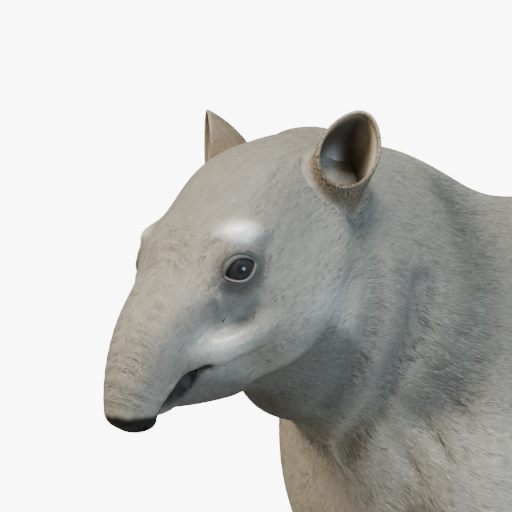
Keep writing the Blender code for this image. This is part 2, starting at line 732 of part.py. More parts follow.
def part_head(rest):
    """Parts the proboscis, lower jaw, head, neck and tail, and leaves the torso."""
    corner = (0.856, 0.783)
    mouth = [(0.884, 0.745), (0.900, 0.715), (0.904, 0.550)]
    take(rest, "proboscis", [corner, *mouth, (1.10, 0.550), (1.10, 0.870)])
    take(rest, "lower_jaw", [corner, (0.735, 0.748), (0.712, 0.550), *reversed(mouth)])
    nape = [(0.585, 1.20), (0.630, 0.900), (0.690, 0.730), (0.690, 0.550)]
    take(rest, "head", [*nape, (1.10, 0.550), (1.10, 1.20)])
    take(rest, "neck", [(0.340, 1.20), (0.480, 0.820), (0.585, 0.520), (1.10, 0.520), (1.10, 1.20)])
    rump = [(-0.905, 0.935), (-0.931, 0.850), (-0.938, 0.785), (-0.938, 0.700)]
    take(rest, "tail", [*rump, (-1.20, 0.700), (-1.20, 0.935)], -0.040, 0.040)
    rest.name = "torso"
    keep_largest(rest)


def finish_flesh(body):
    """Adds the rolls of the lids and cuts the sockets, slits, nostrils and flat soles."""
    for side in (1, -1):
        boolean(body, lid_roll(side), "UNION")
        boolean(body, eyeball(side, "socket", EYE_RADIUS + GAP), "DIFFERENCE")
        boolean(body, slit_cutter(side), "DIFFERENCE")
        boolean(body, nostril(side), "DIFFERENCE")
        boolean(body, ringed_solid("ear socket", ear_rings(side, GAP, hollow=False)), "DIFFERENCE")
        for fore in (True, False):
            for form in hoof_forms(side, fore):
                boolean(body, ringed_solid("hoof socket", hoof_rings(form, GAP)), "DIFFERENCE")
    boolean(body, floor_slab(), "DIFFERENCE")
    keep_largest(body)


def hoof_rings(form, extra=0.0):
    return form.rings(around=10, lengthwise=2, dome_rings=3, extra=extra)


def add_hooves():
    for side in (1, -1):
        for fore, kind in ((True, "fore"), (False, "hind")):
            for place, form in zip(("middle", "inner", "outer", "side"), hoof_forms(side, fore)):
                hoof = ringed_solid(f"{kind}hoof_{side_name(side)}_{place}", hoof_rings(form))
                boolean(hoof, floor_slab(), "DIFFERENCE")


def material(name, colour, roughness):
    made = bpy.data.materials.new(name)
    made.use_nodes = True
    shader = made.node_tree.nodes["Principled BSDF"]
    shader.inputs["Base Color"].default_value = (*colour, 1.0)
    shader.inputs["Roughness"].default_value = roughness
    return made


def give_materials():
    """Each object gets its own material: grey-brown skin, the pale saddle, dark eyes, hooves and nose."""
    colours = {"eye": (0.020, 0.017, 0.015), "hoof": (0.060, 0.052, 0.045), "torso": (0.420, 0.410, 0.390)}
    for obj in bpy.data.objects:
        kind = next((word for word in colours if word in obj.name), None)
        colour = colours.get(kind, (0.230, 0.215, 0.195))
        roughness = {"eye": 0.08, "hoof": 0.45}.get(kind, 0.6)
        obj.data.materials.clear()
        obj.data.materials.append(material(obj.name, colour, roughness))


def main():
    for obj in list(bpy.data.objects):
        bpy.data.objects.remove(obj)
    body = skin_over(Flesh())
    thin_out(body)
    finish_flesh(body)
    part_legs(body)
    part_head(body)
    add_hooves()
    for side in (1, -1):
        ringed_solid(f"ear_{side_name(side)}", ear_rings(side))
        eyeball(side, f"eye_{side_name(side)}", EYE_RADIUS)
    give_materials()
    tapir = bpy.data.collections.new("malayan tapir")
    bpy.context.scene.collection.children.link(tapir)
    for obj in list(bpy.context.scene.collection.objects):
        bpy.context.scene.collection.objects.unlink(obj)
        tapir.objects.link(obj)
        obj.data.shade_smooth()
        obj.data.set_sharp_from_angle(angle=math.radians(40.0))


if __name__ == "__main__":
    main()
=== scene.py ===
"""The looks of a life-size Malayan tapir: one fine skin, with lids, ears, wet eyes, ridged hooves and hair.

Places are (aside, ahead, height) in metres: the animal faces -Y with its left side at +X.
"""
import math

import bpy
import numpy as np
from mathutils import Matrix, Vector


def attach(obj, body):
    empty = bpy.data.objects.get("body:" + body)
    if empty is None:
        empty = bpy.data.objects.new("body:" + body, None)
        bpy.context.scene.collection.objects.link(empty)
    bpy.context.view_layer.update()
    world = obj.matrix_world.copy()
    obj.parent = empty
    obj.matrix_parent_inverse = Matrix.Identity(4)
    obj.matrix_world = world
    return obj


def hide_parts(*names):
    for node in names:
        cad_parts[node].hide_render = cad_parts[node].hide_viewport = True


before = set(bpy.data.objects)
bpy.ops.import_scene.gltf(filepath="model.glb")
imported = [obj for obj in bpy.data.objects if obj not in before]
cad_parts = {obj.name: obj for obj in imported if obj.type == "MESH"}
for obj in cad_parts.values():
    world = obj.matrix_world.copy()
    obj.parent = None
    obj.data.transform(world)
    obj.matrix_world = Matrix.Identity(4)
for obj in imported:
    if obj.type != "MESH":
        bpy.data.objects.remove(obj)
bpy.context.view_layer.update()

# Driving sizes, the same as in the part's source
MIDDLE = -0.0065        # from the frame's origin back to the stations' zero, on the long axis
HEAD_PITCH = 40.0       # the skull's axis below the horizon, in degrees
HEAD_AT = (0.700, 0.930)
TRUNK_BEND = (0.160, 0.173, math.radians(38.0))     # where the axis turns down, the radius and the angle
JAW_PITCH = 17.0
JAW_AT = (0.720, 0.800)
EYE_RADIUS = 0.0235
EYE_AT = (0.0720, 0.8250, 0.8950)
EYE_YAW = 60.0
EYE_OPENING = (0.0172, 0.0120)
EYE_TILT = 25.0
EAR_ROOT = (0.0785, 0.6695, 0.985)
EAR_LEAN = {1: (0.571, 0.074, 0.816), -1: (0.420, 0.068, 0.905)}
EAR_TALL = {1: 1.04, -1: 1.24}
EAR_FACES = {1: 45.0, -1: 36.0}
EAR_SHAPE = [
    # up the ear, out of the cup, half width, half height of each ring from the root to the rim
    (-0.022, 0.004, 0.036, 0.028),
    (0.000, 0.000, 0.037, 0.034),
    (0.022, -0.002, 0.037, 0.039),
    (0.044, 0.006, 0.038, 0.044),
    (0.062, 0.018, 0.038, 0.047),
]
FORE_FOOT = (0.128, 0.345)
HIND_FOOT = (0.125, -0.640)
STRIDE = 0.030

# Sizes of the looks alone
COAT = 0.0015           # how deep the skin lies under the outer form
FACE = (0.0, 0.835, 0.850)      # where the skin's grid is finest
FINE_REACH = 0.085      # how far from there the grid starts to widen
FINE_CELL = 0.0022      # its cell at that place
FOOT_TOP = 0.20         # below this height the grid gets finer: up to so many times upright and level
FOOT_STRETCH, FOOT_SPREAD = 4.0, 2.1
TAIL_FRONT, TAIL_END, TAIL_STRETCH = -0.82, -0.98, 6.0      # and behind this place too
WIDEST_MELT = 0.13      # past this a form has no part in the flesh
SOLE_LIFT = 0.0006      # how far the skin stays off the floor
LID_PUSH = 0.0095       # how far the skin is pushed in under the lids
LID_REACH = 0.0100      # how far past the slit's edge that ends
EYE_REGION = 0.065      # past this from the eye's centre nothing belongs to the eye
SLIT_BOW = 1.55         # the power of the slit's outline: 2 is an oval and 1 is a diamond
SLIT_HIGH, SLIT_LOW = 0.88, 1.02    # how tall its upper and lower halves are, in eye openings
CREASE_AT = 0.0012      # how far outside the lids' bands their crease lies
EAR_LIP = 0.0022        # half the thickness of an ear's rim
EAR_SKIRT = 0.010       # how high an ear's skirt reaches up its wall
EAR_SKIRT_OUT = 0.012   # and how far out it reaches on the head
HORN_RIDGE = 0.0002     # the height of a hoof's ridges
RIDGE_AT = 0.42         # where a tuft's sides and ridge stand, in lengths from its root
TUFTS_A_PIECE = 32000
BURIED = 0.0008         # how deep a tuft's root lies under the skin
PATCH = 0.003           # the size of a tuft's patch in the UV map
WRINKLE = 2.0           # how strongly the fine wrinkles turn the coat's shading
LINE_DEPTH = 0.0016     # the depth of a shading line that counts as much as a wrinkle
SEED = 7
HOLLOW, MOUTH, GROOVE = 0, 2, 5     # the places of these lines in the relief
VALLEY, FOLD = -6, -4               # the places of these lines, counted from the end of the fine folds

# Tones, as linear colours
SKIN_TONE = (0.300, 0.275, 0.235)
SADDLE_TONE = (0.560, 0.545, 0.500)
# painted highlights on the brow, the lip ridge and the cheek
PAINTED_HIGHLIGHT_TONE = (0.920, 0.910, 0.850)
BROWN_TONE = (0.330, 0.270, 0.205)
# the legs' own dark, and painted shade in grooves, folds, hollows, under the jaw and on the back and crown
DARK_AND_SHADE_TONE = (0.130, 0.120, 0.105)
# painted light on the chest
PAINTED_LIGHT_CHEST_TONE = (0.540, 0.465, 0.370)
NOSE_TONE = (0.020, 0.018, 0.016)
EAR_TONE = (0.210, 0.165, 0.120)
RIM_TONE = (0.470, 0.400, 0.290)
# painted shade inside the ear's cup
CUP_SHADE_TONE = (0.050, 0.036, 0.026)
# painted light on the cup's far wall
PAINTED_LIGHT_WALL_TONE = (0.520, 0.420, 0.310)
LUMP_TONE = (0.700, 0.710, 0.690)

SKY = 0.07              # the even light from all round
BACKDROP = 9.0          # the white that the camera sees behind the animal
TO_CAMERA = np.array([math.sqrt(0.5), -math.sqrt(0.5), 0.0])
PICTURE_RIGHT = np.array([math.sqrt(0.5), math.sqrt(0.5), 0.0])
LIGHTS = [
    # name, to the picture's right, towards the camera and up from the head, size, power and colour
    ("key light", -1.25, 0.60, 1.0, 0.5, 36.0, (1.0, 0.91, 0.74)),
    ("top light", 0.0, 0.75, 1.35, 0.45, 32.0, (0.98, 1.0, 0.94)),
    ("side light", 1.1, 1.1, 0.05, 0.6, 19.0, (0.62, 0.82, 1.0)),
    ("back light", 1.1, -1.0, 1.3, 0.8, 7.0, (0.86, 1.0, 0.96)),
]


def spot(aside, ahead, height):
    """A place given as aside, ahead and height, in the frame's coordinates."""
    return np.array([aside, MIDDLE - ahead, height])


def folded(points):
    """Places of either side brought onto the left."""
    return np.stack([np.abs(points[:, 0]), points[:, 1], points[:, 2]], axis=1)


def unit(v):
    """Vectors brought to the length of 1."""
    return v / np.linalg.norm(v, axis=-1, keepdims=True)


def axes(pitch=0.0, yaw=0.0):
    """Rows: along, aside and rise, for a form that points ahead, turned down by pitch and outwards by yaw."""
    p, y = math.radians(pitch), math.radians(yaw)
    along = (math.sin(y) * math.cos(p), -math.cos(y) * math.cos(p), -math.sin(p))
    aside = (math.cos(y), math.sin(y), 0.0)
    return np.array([along, aside, np.cross(along, aside)])


UPRIGHT = np.array([(0.0, 0.0, 1.0), (1.0, 0.0, 0.0), (0.0, -1.0, 0.0)])
LEVEL = axes()
HEAD = axes(HEAD_PITCH)
HEAD_ORIGIN = spot(0.0, *HEAD_AT)


def natural_spline(knots, values, at):
    """The natural cubic spline through the knots, read at the given places."""
    x, y = np.asarray(knots, float), np.asarray(values, float)
    if len(x) == 2:
        return np.interp(at, x, y)
    h = np.diff(x)
    bend = np.eye(len(x))
    load = np.zeros(len(x))
    for i in range(1, len(x) - 1):
        bend[i, i - 1 : i + 2] = h[i - 1], 2.0 * (h[i - 1] + h[i]), h[i]
        load[i] = 6.0 * ((y[i + 1] - y[i]) / h[i] - (y[i] - y[i - 1]) / h[i - 1])
    m = np.linalg.solve(bend, load)
    i = np.clip(np.searchsorted(x, at) - 1, 0, len(h) - 1)
    right, left = at - x[i], x[i + 1] - at
    return (
        (m[i] * left**3 + m[i + 1] * right**3) / (6.0 * h[i])
        + (y[i] / h[i] - m[i] * h[i] / 6.0) * left
        + (y[i + 1] / h[i] - m[i + 1] * h[i] / 6.0) * right
    )


class Form:
    """Oval sections carried along one axis, with a domed end each way.

    A station is (along, aside, rise, half_width, over, under). A point at angle a of the section lies at
    (width cos(a)^(2/power), tall sin(a)^(2/power)) off the axis, and tall is over or under by the side.
    A bend (start, radius, angle) turns the axis down along an arc from that place on.
    """

    def __init__(self, at, turn, stations, domes, melt, side=0, power=2.0, bend=None):
        self.at, self.turn, self.melt, self.side, self.power = at, turn, melt, side, power
        self.domes, self.bend = domes, bend
        knots = np.array(stations, float).T
        self.first, self.last = knots[0][0], knots[0][-1]
        if len(stations) == 1:
            self.t = np.array([self.first, self.first + 1.0])
            self.rows = [np.array([row[0], row[0]]) for row in knots[1:]]
        else:
            self.t = np.linspace(self.first, self.last, 700)
            self.rows = [natural_spline(knots[0], row, self.t) for row in knots[1:]]
        hull = self.rings(12, 8, 3).reshape(-1, 3)
        if side:
            hull[:, 0] *= side
        self.middle = 0.5 * (hull.min(axis=0) + hull.max(axis=0))
        self.size = np.linalg.norm(hull - self.middle, axis=1).max()

    def section(self, along):
        """Aside, rise, half width, over and under at places along the axis."""
        return [np.interp(along, self.t, row) for row in self.rows]

    def straightened(self, t, v):
        """Along and rise of places, with the bend taken out."""
        start, radius, angle = self.bend
        x, y = t - start, v + radius
        half = 0.5 * angle
        swing = np.arctan2(x * math.cos(half) - y * math.sin(half), x * math.sin(half) + y * math.cos(half))
        swing = np.clip(swing, -half, half) + half
        past = x * np.cos(swing) - y * np.sin(swing)
        return start + radius * swing + past, x * np.sin(swing) + y * np.cos(swing) - radius

    def bent(self, t, v):
        """The reverse of straightened."""
        start, radius, angle = self.bend
        swing = np.clip((t - start) / radius, 0.0, angle)
        past = t - start - radius * swing
        return (start + (radius + v) * np.sin(swing) + past * np.cos(swing),
                (radius + v) * np.cos(swing) - past * np.sin(swing) - radius)

    def distance(self, points):
        """About how far each point lies outside the form, negative inside."""
        p = points.copy()
        p[:, 0] = p[:, 0] * self.side if self.side else np.abs(p[:, 0])
        far = np.linalg.norm(p - self.middle, axis=1) - self.size
        near = far < WIDEST_MELT
        found = np.maximum(far, WIDEST_MELT)
        if not near.any():
            return found
        t, u, v = self.turn @ (p[near] - self.at).T
        if self.bend:
            t, v = self.straightened(t, v)
        core = np.clip(t, self.first, self.last)
        aside, rise, width, over, under = self.section(core)
        u, v, w = u - aside, v - rise, t - core
        tall = np.where(v > 0.0, over, under)
        dome = np.where(w > 0.0, self.domes[1], self.domes[0])
        if self.power == 2.0:
            ring = (u / width) ** 2 + (v / tall) ** 2
        else:
            ring = (np.abs(u / width) ** self.power + np.abs(v / tall) ** self.power) ** (2.0 / self.power)
        share = np.sqrt(ring + (w / dome) ** 2) + 1e-9
        found[near] = np.sqrt(u**2 + v**2 + w**2) * (1.0 - 1.0 / share)
        return found

    def rings(self, around, lengthwise, dome_rings):
        """Points of a closed grid over the form, ring by ring, in the frame's coordinates."""
        low = np.linspace(-0.5 * np.pi, 0.0, dome_rings)
        along = np.concatenate([
            self.first + self.domes[0] * np.sin(low),
            np.linspace(self.first, self.last, lengthwise)[1:-1],
            self.last + self.domes[1] * np.sin(-low[::-1]),
        ])
        scale = np.concatenate([np.cos(low), np.ones(lengthwise - 2), np.cos(low[::-1])])
        scale[[0, -1]] = 1e-4
        aside, rise, width, over, under = self.section(np.clip(along, self.first, self.last))
        angle = np.linspace(0.0, 2.0 * np.pi, around, endpoint=False)
        cos, sin = np.cos(angle)[None], np.sin(angle)[None]
        bow = 2.0 / self.power
        cos, sin = np.sign(cos) * np.abs(cos) ** bow, np.sign(sin) * np.abs(sin) ** bow
        u = aside[:, None] + (scale * width)[:, None] * cos
        tall = np.where(sin > 0.0, over[:, None], under[:, None])
        v = rise[:, None] + scale[:, None] * tall * sin
        t = np.broadcast_to(along[:, None], u.shape)
        if self.bend:
            t, v = self.bent(t, v)
        placed = np.stack([t, u, v], axis=-1) @ self.turn + self.at
        if self.side:
            placed[..., 0] *= self.side
        return placed


def ball(aside, ahead, height, half, turn=LEVEL, melt=0.03, side=0):
    """An oval mass: half its length, width and height, along, aside and up."""
    along, width, tall = half
    station = (0.0, 0.0, 0.0, width, tall, tall)
    return Form(spot(aside, ahead, height), turn, [station], (along, along), melt, side)


def torso_forms():
    """The barrel from the rump to the neck's front end, and the masses that it carries."""
    barrel = [
        # ahead, -, widest line, half width, over, under
        (-0.720, 0.0, 0.780, 0.206, 0.250, 0.262),
        (-0.560, 0.0, 0.765, 0.242, 0.292, 0.306),
        (-0.360, 0.0, 0.740, 0.266, 0.306, 0.330),
        (-0.120, 0.0, 0.722, 0.270, 0.297, 0.326),
        (0.120, 0.0, 0.722, 0.250, 0.280, 0.312),
        (0.270, 0.0, 0.742, 0.220, 0.256, 0.290),
        (0.390, 0.0, 0.790, 0.186, 0.243, 0.272),
        (0.490, 0.0, 0.845, 0.160, 0.218, 0.262),
        (0.590, 0.0, 0.885, 0.136, 0.172, 0.226),
        (0.670, 0.0, 0.895, 0.118, 0.136, 0.170),
    ]
    return [
        Form(spot(0.0, 0.0, 0.0), LEVEL, barrel, (0.215, 0.055), 0.0, power=2.15),
        # breastbone, shoulder blade, upper arm and rump
        ball(0.0, 0.455, 0.600, (0.085, 0.100, 0.140), melt=0.09),
        ball(0.140, 0.330, 0.760, (0.150, 0.085, 0.230), axes(pitch=-18.0), melt=0.09),
        ball(0.130, 0.410, 0.590, (0.085, 0.070, 0.150), melt=0.08),
        ball(0.112, -0.690, 0.760, (0.175, 0.125, 0.210), melt=0.10),
    ]


def head_forms():
    """Skull and proboscis as one bent form, the jaw, and the masses of the face."""
    skull = [
        # along, -, widest line, half width, over, under: from the nape over the brow to the proboscis' tip
        (-0.125, 0.0, 0.000, 0.080, 0.080, 0.090),
        (-0.040, 0.0, 0.010, 0.096, 0.111, 0.100),
        (0.016, 0.0, 0.012, 0.100, 0.117, 0.090),
        (0.066, 0.0, 0.014, 0.097, 0.108, 0.084),
        (0.119, 0.0, 0.019, 0.086, 0.095, 0.078),
        (0.167, 0.0, 0.040, 0.071, 0.046, 0.064),
        (0.201, 0.0, 0.041, 0.058, 0.043, 0.050),
        (0.233, 0.0, 0.041, 0.048, 0.041, 0.040),
        (0.262, 0.0, 0.041, 0.040, 0.037, 0.035),
        (0.286, 0.0, 0.041, 0.034, 0.032, 0.030),
    ]
    jaw = [
        (0.000, 0.0, 0.000, 0.074, 0.060, 0.058),
        (0.070, 0.0, 0.000, 0.055, 0.036, 0.046),
        (0.130, 0.0, 0.002, 0.040, 0.028, 0.036),
        (0.168, 0.0, 0.004, 0.029, 0.022, 0.027),
    ]
    return [
        Form(HEAD_ORIGIN, HEAD, skull, (0.050, 0.024), 0.06, power=2.3, bend=TRUNK_BEND),
        Form(spot(0.0, *JAW_AT), axes(JAW_PITCH), jaw, (0.060, 0.022), 0.022, power=2.3),
        # throat, cheek muscle, ridge from the cheek bone to the lip, brow, orbit, and the bulge of the lids
        ball(0.0, 0.652, 0.762, (0.066, 0.080, 0.067), melt=0.030),
        ball(0.064, 0.716, 0.850, (0.085, 0.046, 0.068), axes(pitch=52.0), melt=0.034),
        ball(0.062, 0.826, 0.807, (0.056, 0.023, 0.020), axes(pitch=22.0, yaw=-27.0), melt=0.030),
        ball(0.0735, 0.820, 0.9345, (0.031, 0.022, 0.0165), axes(pitch=8.0, yaw=-28.0), melt=0.022),
        ball(0.0700, 0.8200, 0.9070, (0.0245, 0.0245, 0.0225), melt=0.014),
        ball(*EYE_AT, (EYE_RADIUS + 0.003,) * 3, melt=0.018),
    ]


def foot_centre(side, fore):
    """A foot's place aside and ahead, with its part of the stride."""
    aside, ahead = FORE_FOOT if fore else HIND_FOOT
    step = (STRIDE if side > 0 else -STRIDE) * (1.0 if fore else -1.0)
    return aside, ahead + step


def leg_forms(side, fore):
    """A leg's forms: upright sections from the hoofs up, and the foot."""
    if fore:
        column = [
            # height, outwards, forwards, half width, to the front, to the back
            (0.075, 0.000, 0.000, 0.048, 0.046, 0.049),
            (0.120, 0.000, -0.006, 0.043, 0.041, 0.043),
            (0.200, 0.000, -0.012, 0.044, 0.043, 0.045),
            (0.285, 0.000, -0.010, 0.053, 0.055, 0.052),
            (0.350, 0.000, -0.012, 0.059, 0.060, 0.064),
            (0.460, 0.000, -0.010, 0.074, 0.084, 0.096),
            (0.580, -0.004, 0.000, 0.084, 0.112, 0.120),
        ]
    else:
        column = [
            (0.075, 0.000, 0.000, 0.048, 0.046, 0.049),
            (0.120, 0.000, -0.010, 0.042, 0.041, 0.044),
            (0.210, 0.000, -0.030, 0.042, 0.043, 0.047),
            (0.310, 0.000, -0.052, 0.049, 0.053, 0.063),
            (0.390, 0.002, -0.034, 0.060, 0.074, 0.078),
            (0.490, 0.004, 0.015, 0.078, 0.120, 0.116),
            (0.620, 0.004, 0.035, 0.094, 0.158, 0.156),
        ]
    at = spot(*foot_centre(side, fore), 0.0)
    return [Form(at, UPRIGHT, column, (0.050, 0.110), 0.055, side=side), *foot_forms(side, fore)]


def toes(fore):
    """Each toe's turn outwards, place aside and ahead of the foot's middle, half width and lift."""
    main = [
        (0.0, 0.000, 0.044, 0.0205, 0.0),
        (-30.0, -0.030, 0.028, 0.0185, 0.0),
        (30.0, 0.030, 0.028, 0.0185, 0.0),
    ]
    return [*main, (76.0, 0.044, -0.002, 0.0145, 0.003)] if fore else main


def foot_forms(side, fore):
    """The pad under a foot and one oval toe for each hoof, spread like a fan."""
    centre = foot_centre(side, fore)
    forms = [ball(*centre, 0.034, (0.052, 0.047, 0.040), melt=0.030, side=side)]
    for yaw, aside, ahead, half_width, lift in toes(fore):
        turn = axes(yaw=yaw, pitch=14.0)
        at = centre[0] + aside, centre[1] + ahead
        forms.append(ball(*at, 0.026 + lift, (0.036, half_width, 0.026), turn, melt=0.008, side=side))
    return forms


def hoof_forms(side, fore):
    """A hoof for each toe: a blunt wedge that slopes to the floor and caps the toe's end."""
    centre = foot_centre(side, fore)
    forms, reach = [], 0.012
    for yaw, aside, ahead, half_width, lift in toes(fore):
        turn = math.radians(yaw)
        toe_aside = centre[0] + aside + reach * math.sin(turn)
        toe_ahead = centre[1] + ahead + reach * math.cos(turn)
        at = spot(toe_aside, toe_ahead, 0.021 + lift)
        wedge = [
            (-0.004, 0.0, 0.0, 0.84 * half_width, 0.0160, 0.020),
            (0.014, 0.0, 0.0, 0.92 * half_width, 0.0125, 0.020),
        ]
        forms.append(Form(at, axes(pitch=32.0, yaw=yaw), wedge, (0.012, 0.014), 0.0, side=side, power=2.6))
    return forms


def tail_form():
    """A short tail that hangs close to the rump, from the root down to the tip."""
    return Form(spot(0.0, -0.945, 0.0), UPRIGHT, [
        (0.752, 0.0, -0.010, 0.012, 0.011, 0.011),
        (0.800, 0.0, -0.006, 0.018, 0.017, 0.016),
        (0.850, 0.0, 0.006, 0.026, 0.026, 0.021),
        (0.886, 0.0, 0.026, 0.034, 0.034, 0.028),
    ], (0.016, 0.030), 0.022)


def melt_together(a, b, reach):
    """The smaller of two distances, rounded over where they are within reach of each other."""
    if reach <= 0.0:
        return np.minimum(a, b)
    h = np.clip(0.5 + 0.5 * (a - b) / reach, 0.0, 1.0)
    return a + (b - a) * h - reach * h * (1.0 - h)


# The ridge round the root of an ear
EAR_RIDGE = [(0.076, 0.725, 1.019), (0.087, 0.725, 1.000), (0.104, 0.702, 0.974), (0.117, 0.680, 0.952)]


def relief():
    """Ridges and grooves of the head and body: depth (outwards if negative), reach, and the places of a path.

    A place is ahead and height, or aside, ahead and height where the side view does not show it.
    """
    return [
        # hollow under the eye, and the ridge in front of it
        (0.009, 0.020, [(0.818, 0.850), (0.846, 0.836)]),
        (-0.004, 0.0065, [(0.858, 0.884), (0.851, 0.858), (0.841, 0.833)]),
        # line of the mouth, and the lip below it
        (0.010, 0.0050, [(0.905, 0.722), (0.884, 0.745), (0.866, 0.767), (0.855, 0.779)]),
        (-0.003, 0.0070, [(0.900, 0.706), (0.874, 0.738), (0.856, 0.762)]),
        # rear edge of the jaw, groove of the neck, and the fold before the shoulder
        (0.010, 0.020, [(0.752, 0.748), (0.712, 0.785), (0.680, 0.840), (0.662, 0.900), (0.655, 0.950)]),
        (0.006, 0.030, [(0.480, 1.000), (0.470, 0.900), (0.500, 0.780), (0.530, 0.700)]),
    ]


def fine_folds():
    """Folds too fine for the part's own shape, in the same form as the relief."""
    return [
        # edge of the upper lip, and the nostril
        (0.0060, 0.0090, [(0.896, 0.731), (0.882, 0.747), (0.868, 0.763)]),
        (-0.0020, 0.0040, [(0.036, 0.906, 0.745), (0.037, 0.897, 0.756), (0.037, 0.883, 0.769),
                           (0.052, 0.872, 0.784)]),
        (0.0060, 0.0042, [(0.011, 0.937, 0.708), (0.016, 0.933, 0.712), (0.021, 0.925, 0.713)]),
        # upright folds in front of the eye
        (-0.0018, 0.0040, [(0.061, 0.852, 0.933), (0.059, 0.855, 0.917), (0.064, 0.858, 0.896),
                           (0.065, 0.862, 0.878)]),
        (0.0010, 0.0050, [(0.064, 0.860, 0.925), (0.062, 0.866, 0.905), (0.064, 0.868, 0.888)]),
        # creases under the eye
        (0.0016, 0.0060, [(0.073, 0.853, 0.868), (0.078, 0.838, 0.860), (0.080, 0.820, 0.856),
                          (0.088, 0.798, 0.866)]),
        # round the root of the ear
        (0.0030, 0.0060, [(0.080, 0.718, 1.024), (0.092, 0.718, 1.007), (0.108, 0.698, 0.982),
                          (0.121, 0.675, 0.959)]),
        (-0.0024, 0.0060, EAR_RIDGE),
        # valley behind the cheek, and the roll behind it
        (0.0090, 0.0130, [(0.113, 0.657, 0.973), (0.124, 0.647, 0.915), (0.122, 0.641, 0.860),
                          (0.114, 0.639, 0.810), (0.092, 0.648, 0.759), (0.059, 0.660, 0.717)]),
        (-0.0060, 0.0180, [(0.125, 0.615, 0.900), (0.122, 0.610, 0.840), (0.105, 0.617, 0.775),
                           (0.070, 0.627, 0.720)]),
        # fold between neck and shoulder, and the folds of the chest
        (0.0170, 0.0160, [(0.142, 0.558, 0.873), (0.140, 0.563, 0.838), (0.132, 0.571, 0.797),
                          (0.119, 0.586, 0.767), (0.098, 0.592, 0.725), (0.065, 0.593, 0.686),
                          (0.021, 0.580, 0.648)]),
        (0.0040, 0.0100, [(0.107, 0.579, 0.730), (0.118, 0.535, 0.690), (0.148, 0.514, 0.642)]),
        (0.0030, 0.0100, [(0.085, 0.592, 0.706), (0.087, 0.554, 0.668), (0.097, 0.529, 0.627)]),
        (0.0035, 0.0100, [(0.134, 0.555, 0.776), (0.150, 0.517, 0.728), (0.171, 0.499, 0.684)]),
    ]


def shading_lines():
    """Folds that are not in the skin's shape: they turn the coat's shading and give its tufts painted light
    and shade, in the same form as the relief.
    """
    return [
        # ridge round the root of the ear, and the grooves on both sides of it
        (-0.0026, 0.0042, EAR_RIDGE),
        (0.0018, 0.0042, [(0.079, 0.722, 1.023), (0.090, 0.722, 1.004), (0.107, 0.699, 0.978),
                          (0.120, 0.677, 0.956)]),
        (0.0014, 0.0042, [(0.074, 0.728, 1.016), (0.084, 0.728, 0.997), (0.101, 0.705, 0.970),
                          (0.114, 0.683, 0.948)]),
        # upright fold before the eye, on to the ridge before the hollow
        (-0.0018, 0.0040, [(0.061, 0.852, 0.933), (0.059, 0.857, 0.912), (0.062, 0.864, 0.890),
                           (0.066, 0.864, 0.873), (0.070, 0.857, 0.859), (0.070, 0.840, 0.833)]),
        (0.0014, 0.0030, [(0.056, 0.862, 0.930), (0.054, 0.867, 0.909), (0.057, 0.874, 0.888)]),
        # creases under the eye
        (0.0014, 0.0028, [(0.074, 0.852, 0.870), (0.079, 0.837, 0.862), (0.080, 0.820, 0.856)]),
        (0.0012, 0.0030, [(0.090, 0.800, 0.872), (0.094, 0.792, 0.888), (0.095, 0.790, 0.905)]),
    ]


# Places with a painted highlight in the tone: the brow and lip are also glossy
BROW, LIP, CHEEK = (0.087, 0.833, 0.937), (0.071, 0.850, 0.804), (0.113, 0.700, 0.850)

# The upper edge of the painted shade on the jaw and throat: places ahead and their heights
JAW_SHADE_EDGE = [(0.600, 0.640, 0.695, 0.709, 0.733, 0.754, 0.780, 0.810, 0.868),
            (0.760, 0.800, 0.842, 0.817, 0.794, 0.777, 0.766, 0.772, 0.778)]

# Folds across the top of the proboscis: place along the head's axis and depth
TRUNK_FOLDS = [(0.112, 0.0005), (0.126, 0.0007), (0.139, 0.0006), (0.151, 0.0010), (0.164, 0.0008),
               (0.176, 0.0011), (0.189, 0.0008), (0.200, 0.0011), (0.213, 0.0009), (0.225, 0.0010),
               (0.238, 0.0007), (0.250, 0.0009), (0.263, 0.0006)]
FOLD_REACH = 0.0027     # how far each of these reaches along the axis
TRUNK_FROM = 0.70       # ahead of here the proboscis' bands may show


def smooth(x):
    """0 below 0, 1 above 1, and smooth in between."""
    x = np.clip(x, 0.0, 1.0)
    return x * x * (3.0 - 2.0 * x)


